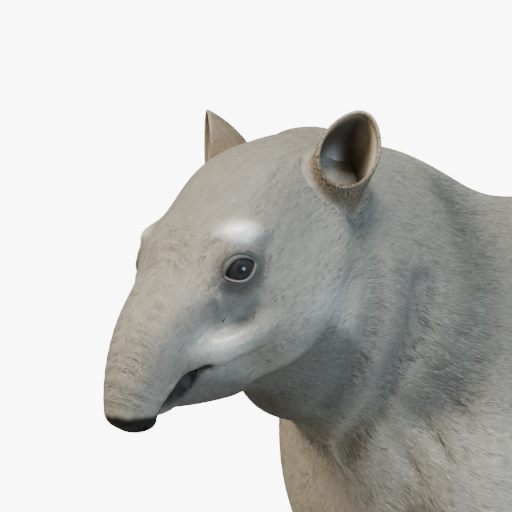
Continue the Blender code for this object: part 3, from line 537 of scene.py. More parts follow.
class Flesh:
    """All the forms melted together, with the soft relief laid over them."""

    def __init__(self):
        self.forms = [*torso_forms(), *head_forms()]
        for side in (1, -1):
            self.forms += leg_forms(side, True) + leg_forms(side, False)
        self.forms.append(tail_form())
        self.skull = self.forms[len(torso_forms())]
        self.paths = []     # while it is empty the paths are laid on the plain forms
        self.paths = [(depth, reach, self.laid(path)) for depth, reach, path in relief() + fine_folds()]
        self.lines = [(depth, reach, self.laid(path)) for depth, reach, path in shading_lines()]

    def distance(self, points):
        """How far each point lies outside the flesh."""
        found = np.full(len(points), 1.0)
        for form in self.forms:
            found = melt_together(found, form.distance(points), form.melt)
        for depth, reach, path in self.paths:
            found += depth * self.nearness(points, path, reach)
        near = MIDDLE - points[:, 1] > 0.77
        if near.any():
            sag, share = self.trunk_bands(points[near])
            for at, depth in TRUNK_FOLDS:
                found[near] += depth * share * np.exp(-(((sag - at) / FOLD_REACH) ** 2))
        return found + COAT

    def head_places(self, points):
        """Along the head's straightened axis, aside of it and above it."""
        t, u, v = HEAD @ (points - HEAD_ORIGIN).T
        t, v = self.skull.straightened(t, v)
        return t, u, v

    def trunk_bands(self, points):
        """A count along the proboscis that sags to the sides, and how far its folds show, 0 to 1."""
        t, u, v = self.head_places(points)
        sag = t - 0.28 * np.abs(u) + 0.0014 * np.sin(150.0 * np.abs(u) + 40.0 * t)
        across = smooth((v - 0.004) / 0.022) * smooth((0.046 - np.abs(u)) / 0.018)
        return sag, across * smooth((t - 0.095) / 0.030) * smooth((0.292 - t) / 0.025)

    def slope(self, points):
        """The distance and the way in which it grows fastest."""
        step = 1e-4
        here = self.distance(points)
        return here, np.stack([
            (self.distance(points + step * np.eye(3)[k]) - here) / step for k in range(3)
        ], axis=1)

    def settle(self, points, passes=5):
        """The points moved down the slope of the distance until they lie on the skin."""
        p = points.copy()
        for _ in range(passes):
            here, slope = self.slope(p)
            size = np.maximum((slope**2).sum(axis=1), 0.05)
            p -= slope * np.clip(here / size, -0.02, 0.02)[:, None]
        return p

    @staticmethod
    def nearness(points, path, reach):
        """1 on the path and falling away like a bell to 0, the same on both sides of the body."""
        p = points.copy()
        p[:, 0] = np.abs(p[:, 0])
        low, high = path.min(axis=0) - 3.0 * reach, path.max(axis=0) + 3.0 * reach
        near = np.flatnonzero(((p > low) & (p < high)).all(axis=1))
        found = np.zeros(len(points))
        if not len(near):
            return found
        p = p[near]
        least = np.full(len(p), 1.0)
        for start, end in zip(path[:-1], path[1:]):
            way = end - start
            share = np.clip((p - start) @ way / (way @ way), 0.0, 1.0)
            least = np.minimum(least, ((p - start - share[:, None] * way) ** 2).sum(axis=1))
        found[near] = np.exp(-least / reach**2)
        return found

    def laid(self, path):
        """A path brought onto the left side of the flesh."""
        knots = np.array(path, float)
        steps = np.linspace(0.0, len(knots) - 1.0, 4 * len(knots) - 3)
        rows = [natural_spline(np.arange(len(knots)), row, steps) for row in knots.T]
        ahead, height = rows[-2:]
        if len(rows) == 3:
            return self.settle(np.stack([rows[0], MIDDLE - ahead, height], axis=1))
        p = np.stack([np.full(len(steps), 0.32), MIDDLE - ahead, height], axis=1)
        for _ in range(30):
            p[:, 0] -= 0.8 * self.distance(p)
        p[:, 0] = np.maximum(p[:, 0], 0.0)
        return p


def eye_axes():
    """Rows: the way the left eye looks, the length of its slit, and across the slit."""
    turn, tilt = math.radians(EYE_YAW), math.radians(EYE_TILT)
    gaze = np.array([math.sin(turn), -math.cos(turn), 0.0])
    level = np.array([math.cos(turn), math.sin(turn), 0.0])
    rise = np.array([0.0, 0.0, 1.0])
    length = math.cos(tilt) * level + math.sin(tilt) * rise
    return np.array([gaze, length, np.cross(gaze, length)])


# Meshes from whole arrays


def put_mesh(name, points, faces, smooth=True):
    """An object with these points and faces: one array, or a list with an array for each corner count."""
    groups = [np.asarray(f, np.int32) for f in (faces if isinstance(faces, list) else [faces])]
    mesh = bpy.data.meshes.new(name)
    mesh.vertices.add(len(points))
    mesh.vertices.foreach_set("co", np.asarray(points, np.float32).ravel())
    corners = np.concatenate([g.ravel() for g in groups])
    counts = np.concatenate([np.full(len(g), g.shape[1], np.int32) for g in groups])
    mesh.loops.add(len(corners))
    mesh.loops.foreach_set("vertex_index", corners)
    mesh.polygons.add(len(counts))
    mesh.polygons.foreach_set("loop_start", np.concatenate([[0], np.cumsum(counts)[:-1]]).astype(np.int32))
    mesh.update(calc_edges=True)
    mesh.validate()
    if smooth:
        mesh.shade_smooth()
    made = bpy.data.objects.new(name, mesh)
    bpy.context.scene.collection.objects.link(made)
    return made


def grid_quads(rows, around, offset=0):
    """The quads of a grid that closes round on itself, row by row."""
    i, j = np.meshgrid(np.arange(rows - 1), np.arange(around), indexing="ij")
    a, b = i * around + j, i * around + (j + 1) % around
    return np.stack([a, b, b + around, a + around], axis=-1).reshape(-1, 4) + offset


def closed_grid(rows, around, first=True):
    """The faces of such a grid with an n-gon over its last ring, and over its first one too if asked."""
    ring = np.arange(around)[None]
    return [grid_quads(rows, around), (rows - 1) * around + ring] + ([ring[:, ::-1]] if first else [])


def turned(faces):
    """The same faces, looking the other way."""
    return [group[:, ::-1] for group in faces]


def points_of(obj):
    """The places of a mesh's vertices."""
    flat = np.empty(len(obj.data.vertices) * 3, np.float32)
    obj.data.vertices.foreach_get("co", flat)
    return flat.reshape(-1, 3).astype(float)


def normals_of(obj):
    """The ways that a mesh's vertices face."""
    flat = np.empty(len(obj.data.vertices) * 3, np.float32)
    obj.data.vertex_normals.foreach_get("vector", flat)
    return flat.reshape(-1, 3).astype(float)


def triangles_of(obj):
    """The corners of a mesh's triangles."""
    obj.data.calc_loop_triangles()
    flat = np.empty(len(obj.data.loop_triangles) * 3, np.int32)
    obj.data.loop_triangles.foreach_get("vertices", flat)
    return flat.reshape(-1, 3)


# The skin


def pulled(depth, reach, most):
    """A depth past an edge, drawn out more and more: d + (most - 1) d^2 / (2 reach) for d above 0."""
    return depth + (most - 1.0) / (2.0 * reach) * np.maximum(depth, 0.0) ** 2


def let_back(depth, reach, most):
    """The reverse of pulled."""
    k = (most - 1.0) / (2.0 * reach)
    past = np.maximum(depth, 0.0)
    return np.where(depth > 0.0, (np.sqrt(1.0 + 4.0 * k * past) - 1.0) / (2.0 * k), depth)


def foot_spread(points):
    """The middle of each place's own foot, and how many times its level distance from there grows."""
    side = np.where(points[..., 0] < 0.0, -1.0, 1.0)
    fore = MIDDLE - points[..., 1] > 0.5 * (FORE_FOOT[1] + HIND_FOOT[1])
    aside = np.where(fore, FORE_FOOT[0], HIND_FOOT[0]) * side
    ahead = np.where(fore, FORE_FOOT[1] + STRIDE * side, HIND_FOOT[1] - STRIDE * side)
    down = np.clip(1.0 - points[..., 2] / FOOT_TOP, 0.0, 1.0)
    return np.stack([aside, MIDDLE - ahead], axis=-1), (1.0 + (FOOT_SPREAD - 1.0) * down**2)[..., None]


def drawn_in(points):
    """Places drawn out at the feet and the tail, then drawn in towards the face, r to L asinh(r / L).

    Even cells on these come out finest at the face and fine enough for toes and tail.
    """
    p = points.copy()
    middle, grown = foot_spread(p)
    p[..., :2] = middle + (p[..., :2] - middle) * grown
    p[..., 2] = FOOT_TOP - pulled(FOOT_TOP - p[..., 2], FOOT_TOP, FOOT_STRETCH)
    edge = MIDDLE - TAIL_FRONT
    p[..., 1] = edge + pulled(p[..., 1] - edge, TAIL_FRONT - TAIL_END, TAIL_STRETCH)
    away = p - spot(*FACE)
    r = np.linalg.norm(away, axis=-1, keepdims=True) + 1e-9
    return away * FINE_REACH * np.arcsinh(r / FINE_REACH) / r


def let_out(points):
    """The reverse of drawn_in."""
    r = np.linalg.norm(points, axis=-1, keepdims=True) + 1e-9
    p = points * FINE_REACH * np.sinh(r / FINE_REACH) / r + spot(*FACE)
    p[..., 2] = FOOT_TOP - let_back(FOOT_TOP - p[..., 2], FOOT_TOP, FOOT_STRETCH)
    edge = MIDDLE - TAIL_FRONT
    p[..., 1] = edge + let_back(p[..., 1] - edge, TAIL_FRONT - TAIL_END, TAIL_STRETCH)
    middle, grown = foot_spread(p)
    p[..., :2] = middle + (p[..., :2] - middle) / grown
    return p


def slit_size(turn):
    """How far the slit's edge lies from the gaze, across it, in each direction round it."""
    high = np.where(np.sin(turn) > 0.0, SLIT_HIGH, SLIT_LOW) * EYE_OPENING[1]
    along, across = np.abs(np.cos(turn) / EYE_OPENING[0]), np.abs(np.sin(turn) / high)
    return (along**SLIT_BOW + across**SLIT_BOW) ** (-1.0 / SLIT_BOW)


def past_slit(points):
    """How far places lie past the slit's edge, across the gaze, and their way from the eye's centre."""
    away = folded(points) - spot(*EYE_AT)
    r = np.linalg.norm(away, axis=1) + 1e-9
    g, h, v = eye_axes() @ away.T
    past = np.hypot(h, v) - slit_size(np.arctan2(v, h))
    return np.where((r < EYE_REGION) & (g > -0.01), past, 1.0), away / r[:, None]


def shining(points, place, reach):
    """1 at a place of painted highlight and gloss, and 0 away from it, on both sides: wider than tall."""
    away = (folded(points) - spot(*place)) * (1.0, 1.0, 1.5) / reach
    return np.exp(-(away**2).sum(axis=1))


def clear_of_eyes(points):
    """The skin pushed down under the lids' rings, towards the eyeball's centre, on both sides."""
    past, way = past_slit(points)
    way[:, 0] *= np.where(points[:, 0] < 0.0, -1.0, 1.0)
    return points - LID_PUSH * np.clip((LID_REACH - past) / 0.005, 0.0, 1.0)[:, None] * way


def make_skin(flesh):
    """One closed skin: grids round the forms, drawn in, remeshed as one, let out and settled on the flesh."""
    points, faces, offset = [], [], 0
    for form in flesh.forms:
        rings = form.rings(48, 40, 8)
        alone = form.side or abs(form.at[0]) < 1e-6
        for grid in [rings] if alone else [rings, rings * (-1.0, 1.0, 1.0)]:
            rows, around = grid.shape[:2]
            placed = drawn_in(grid.reshape(-1, 3))
            quads = grid_quads(rows, around, offset)
            ends = np.stack([placed[:around].mean(axis=0), placed[-around:].mean(axis=0)])
            last = offset + (rows - 1) * around
            here = np.arange(around)
            after = (here + 1) % around
            end = np.full(around, offset + rows * around)
            caps = np.concatenate([
                np.stack([offset + after, offset + here, end], axis=1),
                np.stack([last + here, last + after, end + 1], axis=1),
            ])
            if np.linalg.det(np.stack([placed[quads[:, k] - offset] for k in (0, 1, 2)], axis=1)).sum() < 0:
                quads, caps = quads[:, ::-1], caps[:, ::-1]
            points += [placed, ends]
            faces += [quads, caps]
            offset += len(placed) + 2
    made = put_mesh("tapir_skin", np.concatenate(points), faces)
    remesh = made.modifiers.new("one skin", "REMESH")
    remesh.mode = "VOXEL"
    remesh.voxel_size = FINE_CELL
    graph = bpy.context.evaluated_depsgraph_get()
    mesh = bpy.data.meshes.new_from_object(made.evaluated_get(graph))
    made.modifiers.clear()
    made.data = mesh
    p = clear_of_eyes(flesh.settle(let_out(points_of(made))))
    p[:, 2] = np.maximum(p[:, 2], SOLE_LIFT)
    mesh.vertices.foreach_set("co", p.astype(np.float32).ravel())
    mesh.shade_smooth()
    mesh.update()
    return made


# Eyes and lids


def eye_ways(polar, angle):
    """Ways from the left eyeball's centre: polar off the gaze, at the angle from the slit's length."""
    gaze, length, across = eye_axes()
    ring = np.cos(angle)[..., None] * length + np.sin(angle)[..., None] * across
    return np.cos(polar)[..., None] * gaze + np.sin(polar)[..., None] * ring


def mirrored(points, faces, side):
    """The points and faces for the left side as they are, or the same turned over for the right."""
    return (points, faces) if side > 0 else (points * (-1.0, 1.0, 1.0), turned(faces))


def make_eyeball(side, rows=48, around=64):
    """A ball of radius R (1 + 0.05 exp(-(t / 0.5)^2)) at t radians from the gaze, with the cornea's bulge."""
    polar, angle = np.meshgrid(np.linspace(0.002, math.pi - 0.002, rows),
                               np.linspace(0.0, 2.0 * np.pi, around, endpoint=False), indexing="ij")
    radius = (EYE_RADIUS - 0.0003) * (1.0 + 0.05 * np.exp(-((polar / 0.5) ** 2)))
    points = (spot(*EYE_AT) + radius[..., None] * eye_ways(polar, angle)).reshape(-1, 3)
    points, faces = mirrored(points, turned(closed_grid(rows, around)), side)
    made = put_mesh(f"eyeball_{side_name(side)}", points, faces)
    store(made, "polar", polar.ravel())
    return made


def make_lids(side, flesh, around=96):
    """The lids: rows round the slit, each farther out from its edge.

    Up to the crease a row lies a set height off the eyeball. Past it the rows lie on the flesh, found along
    the gaze, and the last ones sink in.
    """
    angle = np.linspace(0.0, 2.0 * np.pi, around, endpoint=False)
    turn = np.arctan2(EYE_OPENING[1] * np.sin(angle), EYE_OPENING[0] * np.cos(angle))
    edge = slit_size(turn)
    first = np.arcsin(edge / EYE_RADIUS)
    upper = 0.5 + 0.5 * np.sin(angle)
    band = 0.42 + 0.22 * np.abs(np.sin(angle)) + 0.32 * np.sin(angle) + 0.10 * np.cos(angle)
    near = [(-0.0015, -0.0012), (-0.0005, -0.0002), (0.0, 0.0008), (0.0005, 0.0018), (0.0012, 0.0028),
            (0.0022, 0.0034), (0.0036, 0.0038), (0.0052, 0.0038), (0.0064, 0.0035), (0.0074, 0.0030)]
    centre = spot(*EYE_AT)
    rows = [
        centre + (EYE_RADIUS + height) * eye_ways(first + past * band / EYE_RADIUS, turn)
        for past, height in near
    ]
    gaze, length, across = eye_axes()
    inner = (rows[-1] - centre) @ length, (rows[-1] - centre) @ across
    inner = np.hypot(*inner) + 0.0006
    far = np.linspace(0.0, 1.0, 22)[:, None]
    wide = inner + (edge + 0.0150 - inner) * far
    ring = np.cos(turn)[:, None] * length + np.sin(turn)[:, None] * across
    spread = (centre + 0.040 * gaze + wide[..., None] * ring).reshape(-1, 3)
    for _ in range(40):
        spread -= 0.8 * flesh.distance(spread)[:, None] * gaze
    normal = unit(flesh.slope(spread)[1]).reshape(len(far), around, 3)
    out = wide - inner
    crease = -0.0014 * np.exp(-(((out - CREASE_AT) / 0.0013) ** 2)) * (0.35 + 0.65 * upper)
    sink = 0.0002 - 0.0030 * np.clip((wide - edge - 0.0115) / 0.0035, 0.0, 1.0) ** 1.5
    shift = (crease + sink)[..., None] * normal
    rows = np.concatenate([np.array(rows), spread.reshape(len(far), around, 3) + shift])
    points, faces = mirrored(rows.reshape(-1, 3), turned([grid_quads(len(rows), around)]), side)
    made = put_mesh(f"eyelids_{side_name(side)}", points, faces)
    past = np.repeat([max(at, 0.0) for at, _ in near] + [1.0] * len(far), around).reshape(len(rows), around)
    store(made, "margin", np.exp(-((past / 0.0011) ** 2)).ravel())
    out = np.concatenate([np.full((len(near), around), -0.001), out])
    # the crease's painted shade, stronger on the upper lid
    store(made, "crease", (np.exp(-(((out - CREASE_AT) / 0.0016) ** 2)) * (0.35 + 0.65 * upper)).ravel())
    on_band = smooth((0.0016 - out) / 0.0020)
    store(made, "tone", markings(points, flesh) * (0.62 + 0.45 * on_band * (1.0 - upper)).reshape(-1, 1))
    return made


def side_name(side):
    """The word for a side."""
    return "left" if side > 0 else "right"


def store(obj, name, values):
    """Writes one number, or one colour, for each vertex as a named attribute."""
    values = np.asarray(values, np.float32)
    if values.ndim == 1:
        obj.data.attributes.new(name, "FLOAT", "POINT").data.foreach_set("value", values)
    else:
        obj.data.attributes.new(name, "FLOAT_VECTOR", "POINT").data.foreach_set("vector", values.ravel())


# Ears


class EarShape:
    """An ear's rings: their planes turn from across its length at the root to the cup's opening at the rim."""

    def __init__(self, side, around):
        turn = math.radians(EAR_FACES[side])
        lean = EAR_LEAN[side]
        self.opens = np.array([math.sin(turn), -math.cos(turn), 0.0])
        self.up = unit(np.array([lean[0], -lean[1], lean[2]]))
        self.back = unit((self.opens @ self.up) * self.up - self.opens)
        self.top = unit(self.up - (self.up @ self.opens) * self.opens)
        self.root = spot(*EAR_ROOT)
        self.rows = np.array(EAR_SHAPE) * (EAR_TALL[side], 1.0, 1.0, 0.5 + 0.5 * EAR_TALL[side])
        self.angle = np.linspace(0.0, 2.0 * np.pi, around, endpoint=False)

    def rings(self, steps, thinner=0.0, raised=0.0):
        """Rings at steps of the shape, drawn in by one thickness and raised towards the cup's opening."""
        steps = np.atleast_1d(steps)
        cos, sin = np.cos(self.angle)[None, :, None], np.sin(self.angle)[None, :, None]
        along, out, width, height = (
            natural_spline(np.arange(len(self.rows)), row, steps)[:, None, None] for row in self.rows.T
        )
        quarter = 0.5 * math.pi * steps[:, None, None] / (len(self.rows) - 1.0)
        high = unit(np.cos(quarter) * self.back + np.sin(quarter) * self.top)
        normal = unit(np.cos(quarter) * self.up + np.sin(quarter) * self.opens)
        wide = np.cross(high, normal)
        thinner = np.broadcast_to(np.atleast_1d(thinner), steps.shape)[:, None, None]
        centre = self.root + along * self.up + (out + raised) * self.opens
        pointed = 1.0 + 0.10 * np.maximum(sin, 0.0) ** 3
        return (centre + (width - thinner) * cos * wide * (1.0 - 0.05 * sin)
                + (height - thinner) * sin * pointed * high)


class EarWall:
    """The outer wall of an ear, and how far each of its places lies off the head."""

    def __init__(self, shape, flesh):
        self.steps = np.linspace(0.0, 4.0, 65)
        self.places = shape.rings(self.steps)
        self.off = flesh.distance(self.places.reshape(-1, 3)).reshape(self.places.shape[:2])
        self.column = np.arange(len(shape.angle))

    def where(self, level):
        """The step at which the wall is last that far off the head, for each angle."""
        steps, off, below = self.steps, self.off, self.off < level
        k = np.minimum(len(steps) - 1 - np.argmax(below[::-1], axis=0), len(steps) - 2)
        a, b = off[k, self.column], off[k + 1, self.column]
        return steps[k] + (steps[1] - steps[0]) * np.clip((level - a) / (b - a), 0.0, 1.0)

    def at(self, step):
        """Places on the wall at one step for each angle."""
        size = self.steps[1] - self.steps[0]
        k = np.clip((step / size).astype(int), 0, len(self.steps) - 2)
        share = (step / size - k)[:, None]
        return self.places[k, self.column] * (1.0 - share) + self.places[k + 1, self.column] * share


def ear_outside(wall, flesh):
    """Rows from under the head's skin, over it in a curve with three handles, and up the wall to the rim."""
    start = wall.where(EAR_SKIRT)
    high, foot = wall.at(start), wall.at(wall.where(0.0))
    away = laid_flat(foot - foot.mean(axis=0), unit(flesh.slope(foot)[1]))
    out = flesh.settle(foot + EAR_SKIRT_OUT * away)
    end = flesh.settle(out + 0.004 * away)
    end -= 0.0018 * unit(flesh.slope(end)[1])
    t = np.linspace(0.0, 1.0, 12)[:, None, None]
    skirt = (1.0 - t) ** 2 * out + 2.0 * t * (1.0 - t) * foot + t**2 * high
    upper = np.array([wall.at(start + (4.0 - start) * share) for share in np.linspace(0.0, 1.0, 28)[1:]])
    return np.concatenate([end[None], skirt, upper])


def ear_inside(shape):
    """Rows down the cup to its closed floor, with a lump on it, the lump's share and the share of painted
    light on the far wall.
    """
    steps = np.linspace(4.0, 1.15, 26)[1:]
    inside = shape.rings(steps, np.interp(steps, [1.15, 2.5, 4.0], [0.007, 0.0060, 0.0044]))
    floor = inside[-1].mean(axis=0)
    closing = [inside[-1] + (floor - 0.004 * shape.up - inside[-1]) * s for s in (0.35, 0.7, 0.92, 0.995)]
    inner = np.concatenate([inside, np.array(closing)])
    centre = shape.root + shape.rows[-1][0] * shape.up + shape.rows[-1][1] * shape.opens
    h, v = (inner - centre) @ np.cross(shape.top, shape.opens), (inner - centre) @ shape.top
    lump = np.exp(-(((h + 0.010) / 0.013) ** 2 + ((v + 0.024) / 0.020) ** 2))
    depth = -(inner - centre) @ shape.opens
    raised = (lump * np.clip(depth - 0.004, 0.0, 0.020) * 0.8)[..., None] * shape.opens
    return inner + raised, lump, smooth((h + 0.006) / 0.022)


def make_ear(side, flesh, around=96):
    """An ear as rings from its skirt on the head up the outer wall, over the rim and down into the cup."""
    shape = EarShape(side, around)
    outside = ear_outside(EarWall(shape, flesh), flesh)
    bend = np.linspace(0.0, np.pi, 9)[1:]
    lip = np.concatenate([shape.rings(4.0, EAR_LIP * (1.0 - np.cos(b)), EAR_LIP * np.sin(b)) for b in bend])
    inner, lump, painted_light_wall = ear_inside(shape)
    grid = np.concatenate([outside, lip, inner])
    points, faces = mirrored(grid.reshape(-1, 3), turned(closed_grid(len(grid), around, first=False)), side)
    made = put_mesh(f"ear_skin_{side_name(side)}", points, faces)
    count = len(outside) + len(lip)
    rows = np.arange(len(grid))[:, None] - (count - 5)
    rim = np.exp(-((rows / 4.0) ** 2)) * (0.45 + 0.55 * np.sin(shape.angle)[None])
    cup, wall, bulge = np.zeros((3, *grid.shape[:2]))
    cup[count:] = np.linspace(0.0, 1.0, len(inner))[:, None] ** 0.5
    # the share of painted light on the cup's far wall
    wall[count:] = painted_light_wall
    bulge[count:] = lump
    for name, values in (("cup", cup), ("rim", rim), ("lump", bulge), ("wall", wall)):
        store(made, name, values.ravel())
    row = np.repeat(np.linspace(0.0, 1.0, len(grid)), around)
    store(made, "row", row)
    store(made, "round", np.tile(np.arange(around) / around, len(grid)))
    store(made, "tone", ear_tone(cup.ravel(), rim.ravel(), bulge.ravel(), wall.ravel(), row))
    return made


# Hooves


def make_hoof(name, form, rows=30, around=44):
    """A hoof: oval rings along its slope, each pushed out by a wave of growth, cut flat at the floor."""
    grid = form.rings(around, rows, 9)
    growth = np.sin(np.arange(len(grid)) * 1.9) + 0.5 * np.sin(np.arange(len(grid)) * 0.83 + 1.0)
    middle = grid.mean(axis=1, keepdims=True)
    grid = grid + HORN_RIDGE * growth[:, None, None] * unit(grid - middle)
    points = grid.reshape(-1, 3)
    points[:, 2] = np.maximum(points[:, 2], 0.0)
    faces = closed_grid(len(grid), around)
    made = put_mesh(name, points, faces if form.side > 0 else turned(faces))
    store(made, "growth", np.repeat(np.linspace(0.0, 1.0, len(grid)), around))
    return made


# Markings


def markings(points, flesh):
    """The coat's tone: grey-brown, a pale saddle, dark legs, nose pad and lips, and painted shade and
    highlights laid over it.
    """
    aside, ahead, height = np.abs(points[:, 0]), MIDDLE - points[:, 1], points[:, 2]
    tone = np.tile(np.array(SKIN_TONE), (len(points), 1))

    def lay(colour, share):
        """Turns the tone into another one by the share."""
        tone[:] += (np.array(colour) - tone) * share[:, None]

    def line(place, reach):
        """1 on a line of the relief and 0 away from it."""
        return flesh.nearness(points, flesh.paths[place][2], reach)

    wobble = 0.012 * np.sin(31.0 * height + 9.0 * aside) + 0.008 * np.sin(67.0 * ahead + 41.0 * aside)
    front = 0.13 - 0.16 * (0.75 - height) + wobble
    hem = np.interp(ahead, [-0.95, -0.75, -0.58, -0.42, 0.1], [0.66, 0.64, 0.62, 0.50, 0.44]) + wobble
    saddle = smooth((front - ahead) / 0.07) * smooth((height - hem) / 0.06) * smooth((ahead + 0.915) / 0.03)
    lay(SADDLE_TONE, saddle)
    below = 0.575 + 0.35 * np.clip(0.80 - height, 0.0, 0.2) - 0.5 * np.clip(height - 0.80, 0.0, 0.4)
    before_belly = smooth((ahead - 0.20) / 0.20)
    lay(BROWN_TONE, 0.6 * smooth((below - ahead) / 0.03) * smooth((0.96 - height) / 0.15) * before_belly)
    # painted shade in the groove of the neck
    lay(DARK_AND_SHADE_TONE, 0.9 * line(GROOVE, 0.038))
    lay(DARK_AND_SHADE_TONE, 0.45 * leg_share(points))
    # painted shade over the withers and the nape, and over the top of the head
    withers_shade = smooth((0.66 - ahead) / 0.08) * smooth((ahead - 0.10) / 0.15) * smooth((height - 0.70) / 0.10)
    lay(DARK_AND_SHADE_TONE, 0.42 * withers_shade)
    lay(DARK_AND_SHADE_TONE, 0.34 * smooth((height - 0.910) / 0.07) * smooth((ahead - 0.60) / 0.05))
    # painted light on the chest, where the head keeps the lamps off it
    lay(PAINTED_LIGHT_CHEST_TONE, 0.9 * smooth((0.73 - height) / 0.08) * smooth((0.60 - ahead) / 0.03) * before_belly)
    # painted shade under the jaw and on the throat
    edge = np.interp(ahead, JAW_SHADE_EDGE[0], JAW_SHADE_EDGE[1]) + 0.004
    jaw = smooth((edge - height) / 0.022) * smooth((0.890 - ahead) / 0.02) * smooth((ahead - 0.60) / 0.05)
    lay(DARK_AND_SHADE_TONE, 0.82 * jaw)
    # painted shade in the valley behind the cheek and in the fold before the shoulder
    lay(DARK_AND_SHADE_TONE, 0.45 * line(VALLEY, 0.014))
    lay(DARK_AND_SHADE_TONE, 0.75 * line(FOLD, 0.013))
    # painted highlights on the cheek, the lip ridge and the brow
    lay(PAINTED_HIGHLIGHT_TONE, 0.30 * shining(points, CHEEK, 0.040))
    lay(PAINTED_HIGHLIGHT_TONE, 0.60 * shining(points, LIP, 0.030))
    lay(PAINTED_HIGHLIGHT_TONE, np.minimum(1.5 * shining(points, BROW, 0.0205), 1.0))
    # painted shade in the socket round the eye and in the hollow under it
    lay(DARK_AND_SHADE_TONE, 0.80 * smooth((0.0290 - past_slit(points)[0]) / 0.016))
    lay(DARK_AND_SHADE_TONE, 0.45 * line(HOLLOW, 0.017))
    pad_top = 0.7290 + 0.0015 * np.sin(240.0 * aside)
    lay(NOSE_TONE, smooth((pad_top - height) / 0.007) * smooth((ahead - 0.880) / 0.014))
    # the lips' own dark skin along the mouth's line, with painted shade in the mouth's gap
    lay(NOSE_TONE, 0.95 * smooth(1.6 * line(MOUTH, 0.0090)))
    return tone


def head_share(points):
    """1 on the head, 0 on the body, and smooth over the front of the neck."""
    ahead, height = MIDDLE - points[:, 1], points[:, 2]
    return smooth((ahead - 0.56 + 0.3 * (height - 0.95)) / 0.12)


def leg_share(points):
    """1 on the legs, 0 on the trunk, and smooth over the tops of the legs."""
    middle, _ = foot_spread(points)
    away = np.abs(points[:, 1] - middle[:, 1])
    return smooth((0.50 - points[:, 2]) / 0.14) * smooth((0.20 - away) / 0.05)


# Coat


def hair_ways(points, flesh):
    """The way the hair lies: back from the nose, back and down on the body, down the legs and tail."""
    ahead = MIDDLE - points[:, 1]
    t, u, v = flesh.head_places(points)
    start, radius, angle = TRUNK_BEND
    pitch = math.radians(HEAD_PITCH) + np.clip((t - start) / radius, 0.0, angle)
    zero = np.zeros(len(points))
    head = np.stack([0.22 * np.sign(u) * smooth(v / 0.05), np.cos(pitch), np.sin(pitch)], axis=1)
    side = np.sign(points[:, 0])
    body = np.stack([0.15 * side, zero + 0.90, zero - 0.32], axis=1)
    down = np.stack([zero, zero + 0.20, zero - 1.0], axis=1)
    on_head = head_share(points)[:, None]
    leg = np.maximum(leg_share(points), smooth((-0.88 - ahead) / 0.04))[:, None]
    return (head * on_head + body * (1.0 - on_head)) * (1.0 - leg) + down * leg


def hair_length(points):
    """The length of a tuft: short on the face and feet, longest on the body."""
    ahead, height = MIDDLE - points[:, 1], points[:, 2]
    body = np.interp(ahead, [0.40, 0.62, 0.75, 0.92], [0.019, 0.013, 0.0075, 0.0045])
    leg = np.interp(height, [0.03, 0.15, 0.40], [0.006, 0.011, 0.017])
    share = leg_share(points)
    return body * (1.0 - share) + leg * share


def lattice_noise(points, table):
    """Smooth noise from -1 to 1: random values on a grid of unit cells, blended between its corners."""
    cell = np.floor(points).astype(int)
    share = smooth(points - cell)
    found = np.zeros(len(points))
    for corner in np.ndindex(2, 2, 2):
        at = (cell + corner) % len(table)
        weight = np.where(corner, share, 1.0 - share).prod(axis=1)
        found += weight * table[at[:, 0], at[:, 1], at[:, 2]]
    return found


def wrinkle_height(points, flesh, table):
    """Height of the fine wrinkles: ridged noise along the hair, bands across the proboscis, and lines; it also
    sets the tufts' painted shade.
    """
    aside, ahead, height = points[:, 0], MIDDLE - points[:, 1], points[:, 2]
    t, u, v = flesh.head_places(points)
    on_head = head_share(points)
    head = np.stack([t / 0.016, u / 0.0065, v / 0.0065], axis=1)
    body = np.stack([aside / 0.010, (ahead + 0.4 * height) / 0.035, (height - 0.4 * ahead) / 0.010], axis=1)
    warp = 0.9 * lattice_noise(points / 0.021, table)[:, None]
    on_body = 1.0 - np.abs(lattice_noise(body + warp, table))
    long = 1.0 - np.abs(lattice_noise(head + warp, table))
    sag, share = flesh.trunk_bands(points)
    share = np.where(ahead > TRUNK_FROM, share, 0.0)
    band = np.stack([sag / 0.0052, u / 0.030, np.zeros(len(u))], axis=1) + 0.5 * warp
    across = 1.0 - np.abs(lattice_noise(band, table))
    found = (on_head * long + (1.0 - on_head) * on_body) * (1.0 - share) + across * share
    for depth, reach, path in flesh.lines:
        found -= depth / LINE_DEPTH * flesh.nearness(points, path, reach)
    return found


def laid_flat(way, normal):
    """Ways turned into the surface that faces along the normal."""
    return unit(way - (way * normal).sum(axis=1, keepdims=True) * normal)


def sample_triangles(corners, density, random):
    """Places on the triangles, as many as area times density say: the triangle and its corners' shares."""
    first, second, third = corners[:, 0], corners[:, 1], corners[:, 2]
    area = 0.5 * np.linalg.norm(np.cross(second - first, third - first), axis=1)
    total = np.cumsum(area * density)
    count = int(total[-1])
    which = np.searchsorted(total, (np.arange(count) + random.random(count)) * total[-1] / count)
    which = np.minimum(which, len(area) - 1)
    a, b = random.random((2, count))
    over = a + b > 1.0
    a, b = np.where(over, 1.0 - a, a), np.where(over, 1.0 - b, b)
    return which, np.stack([1.0 - a - b, a, b], axis=1)


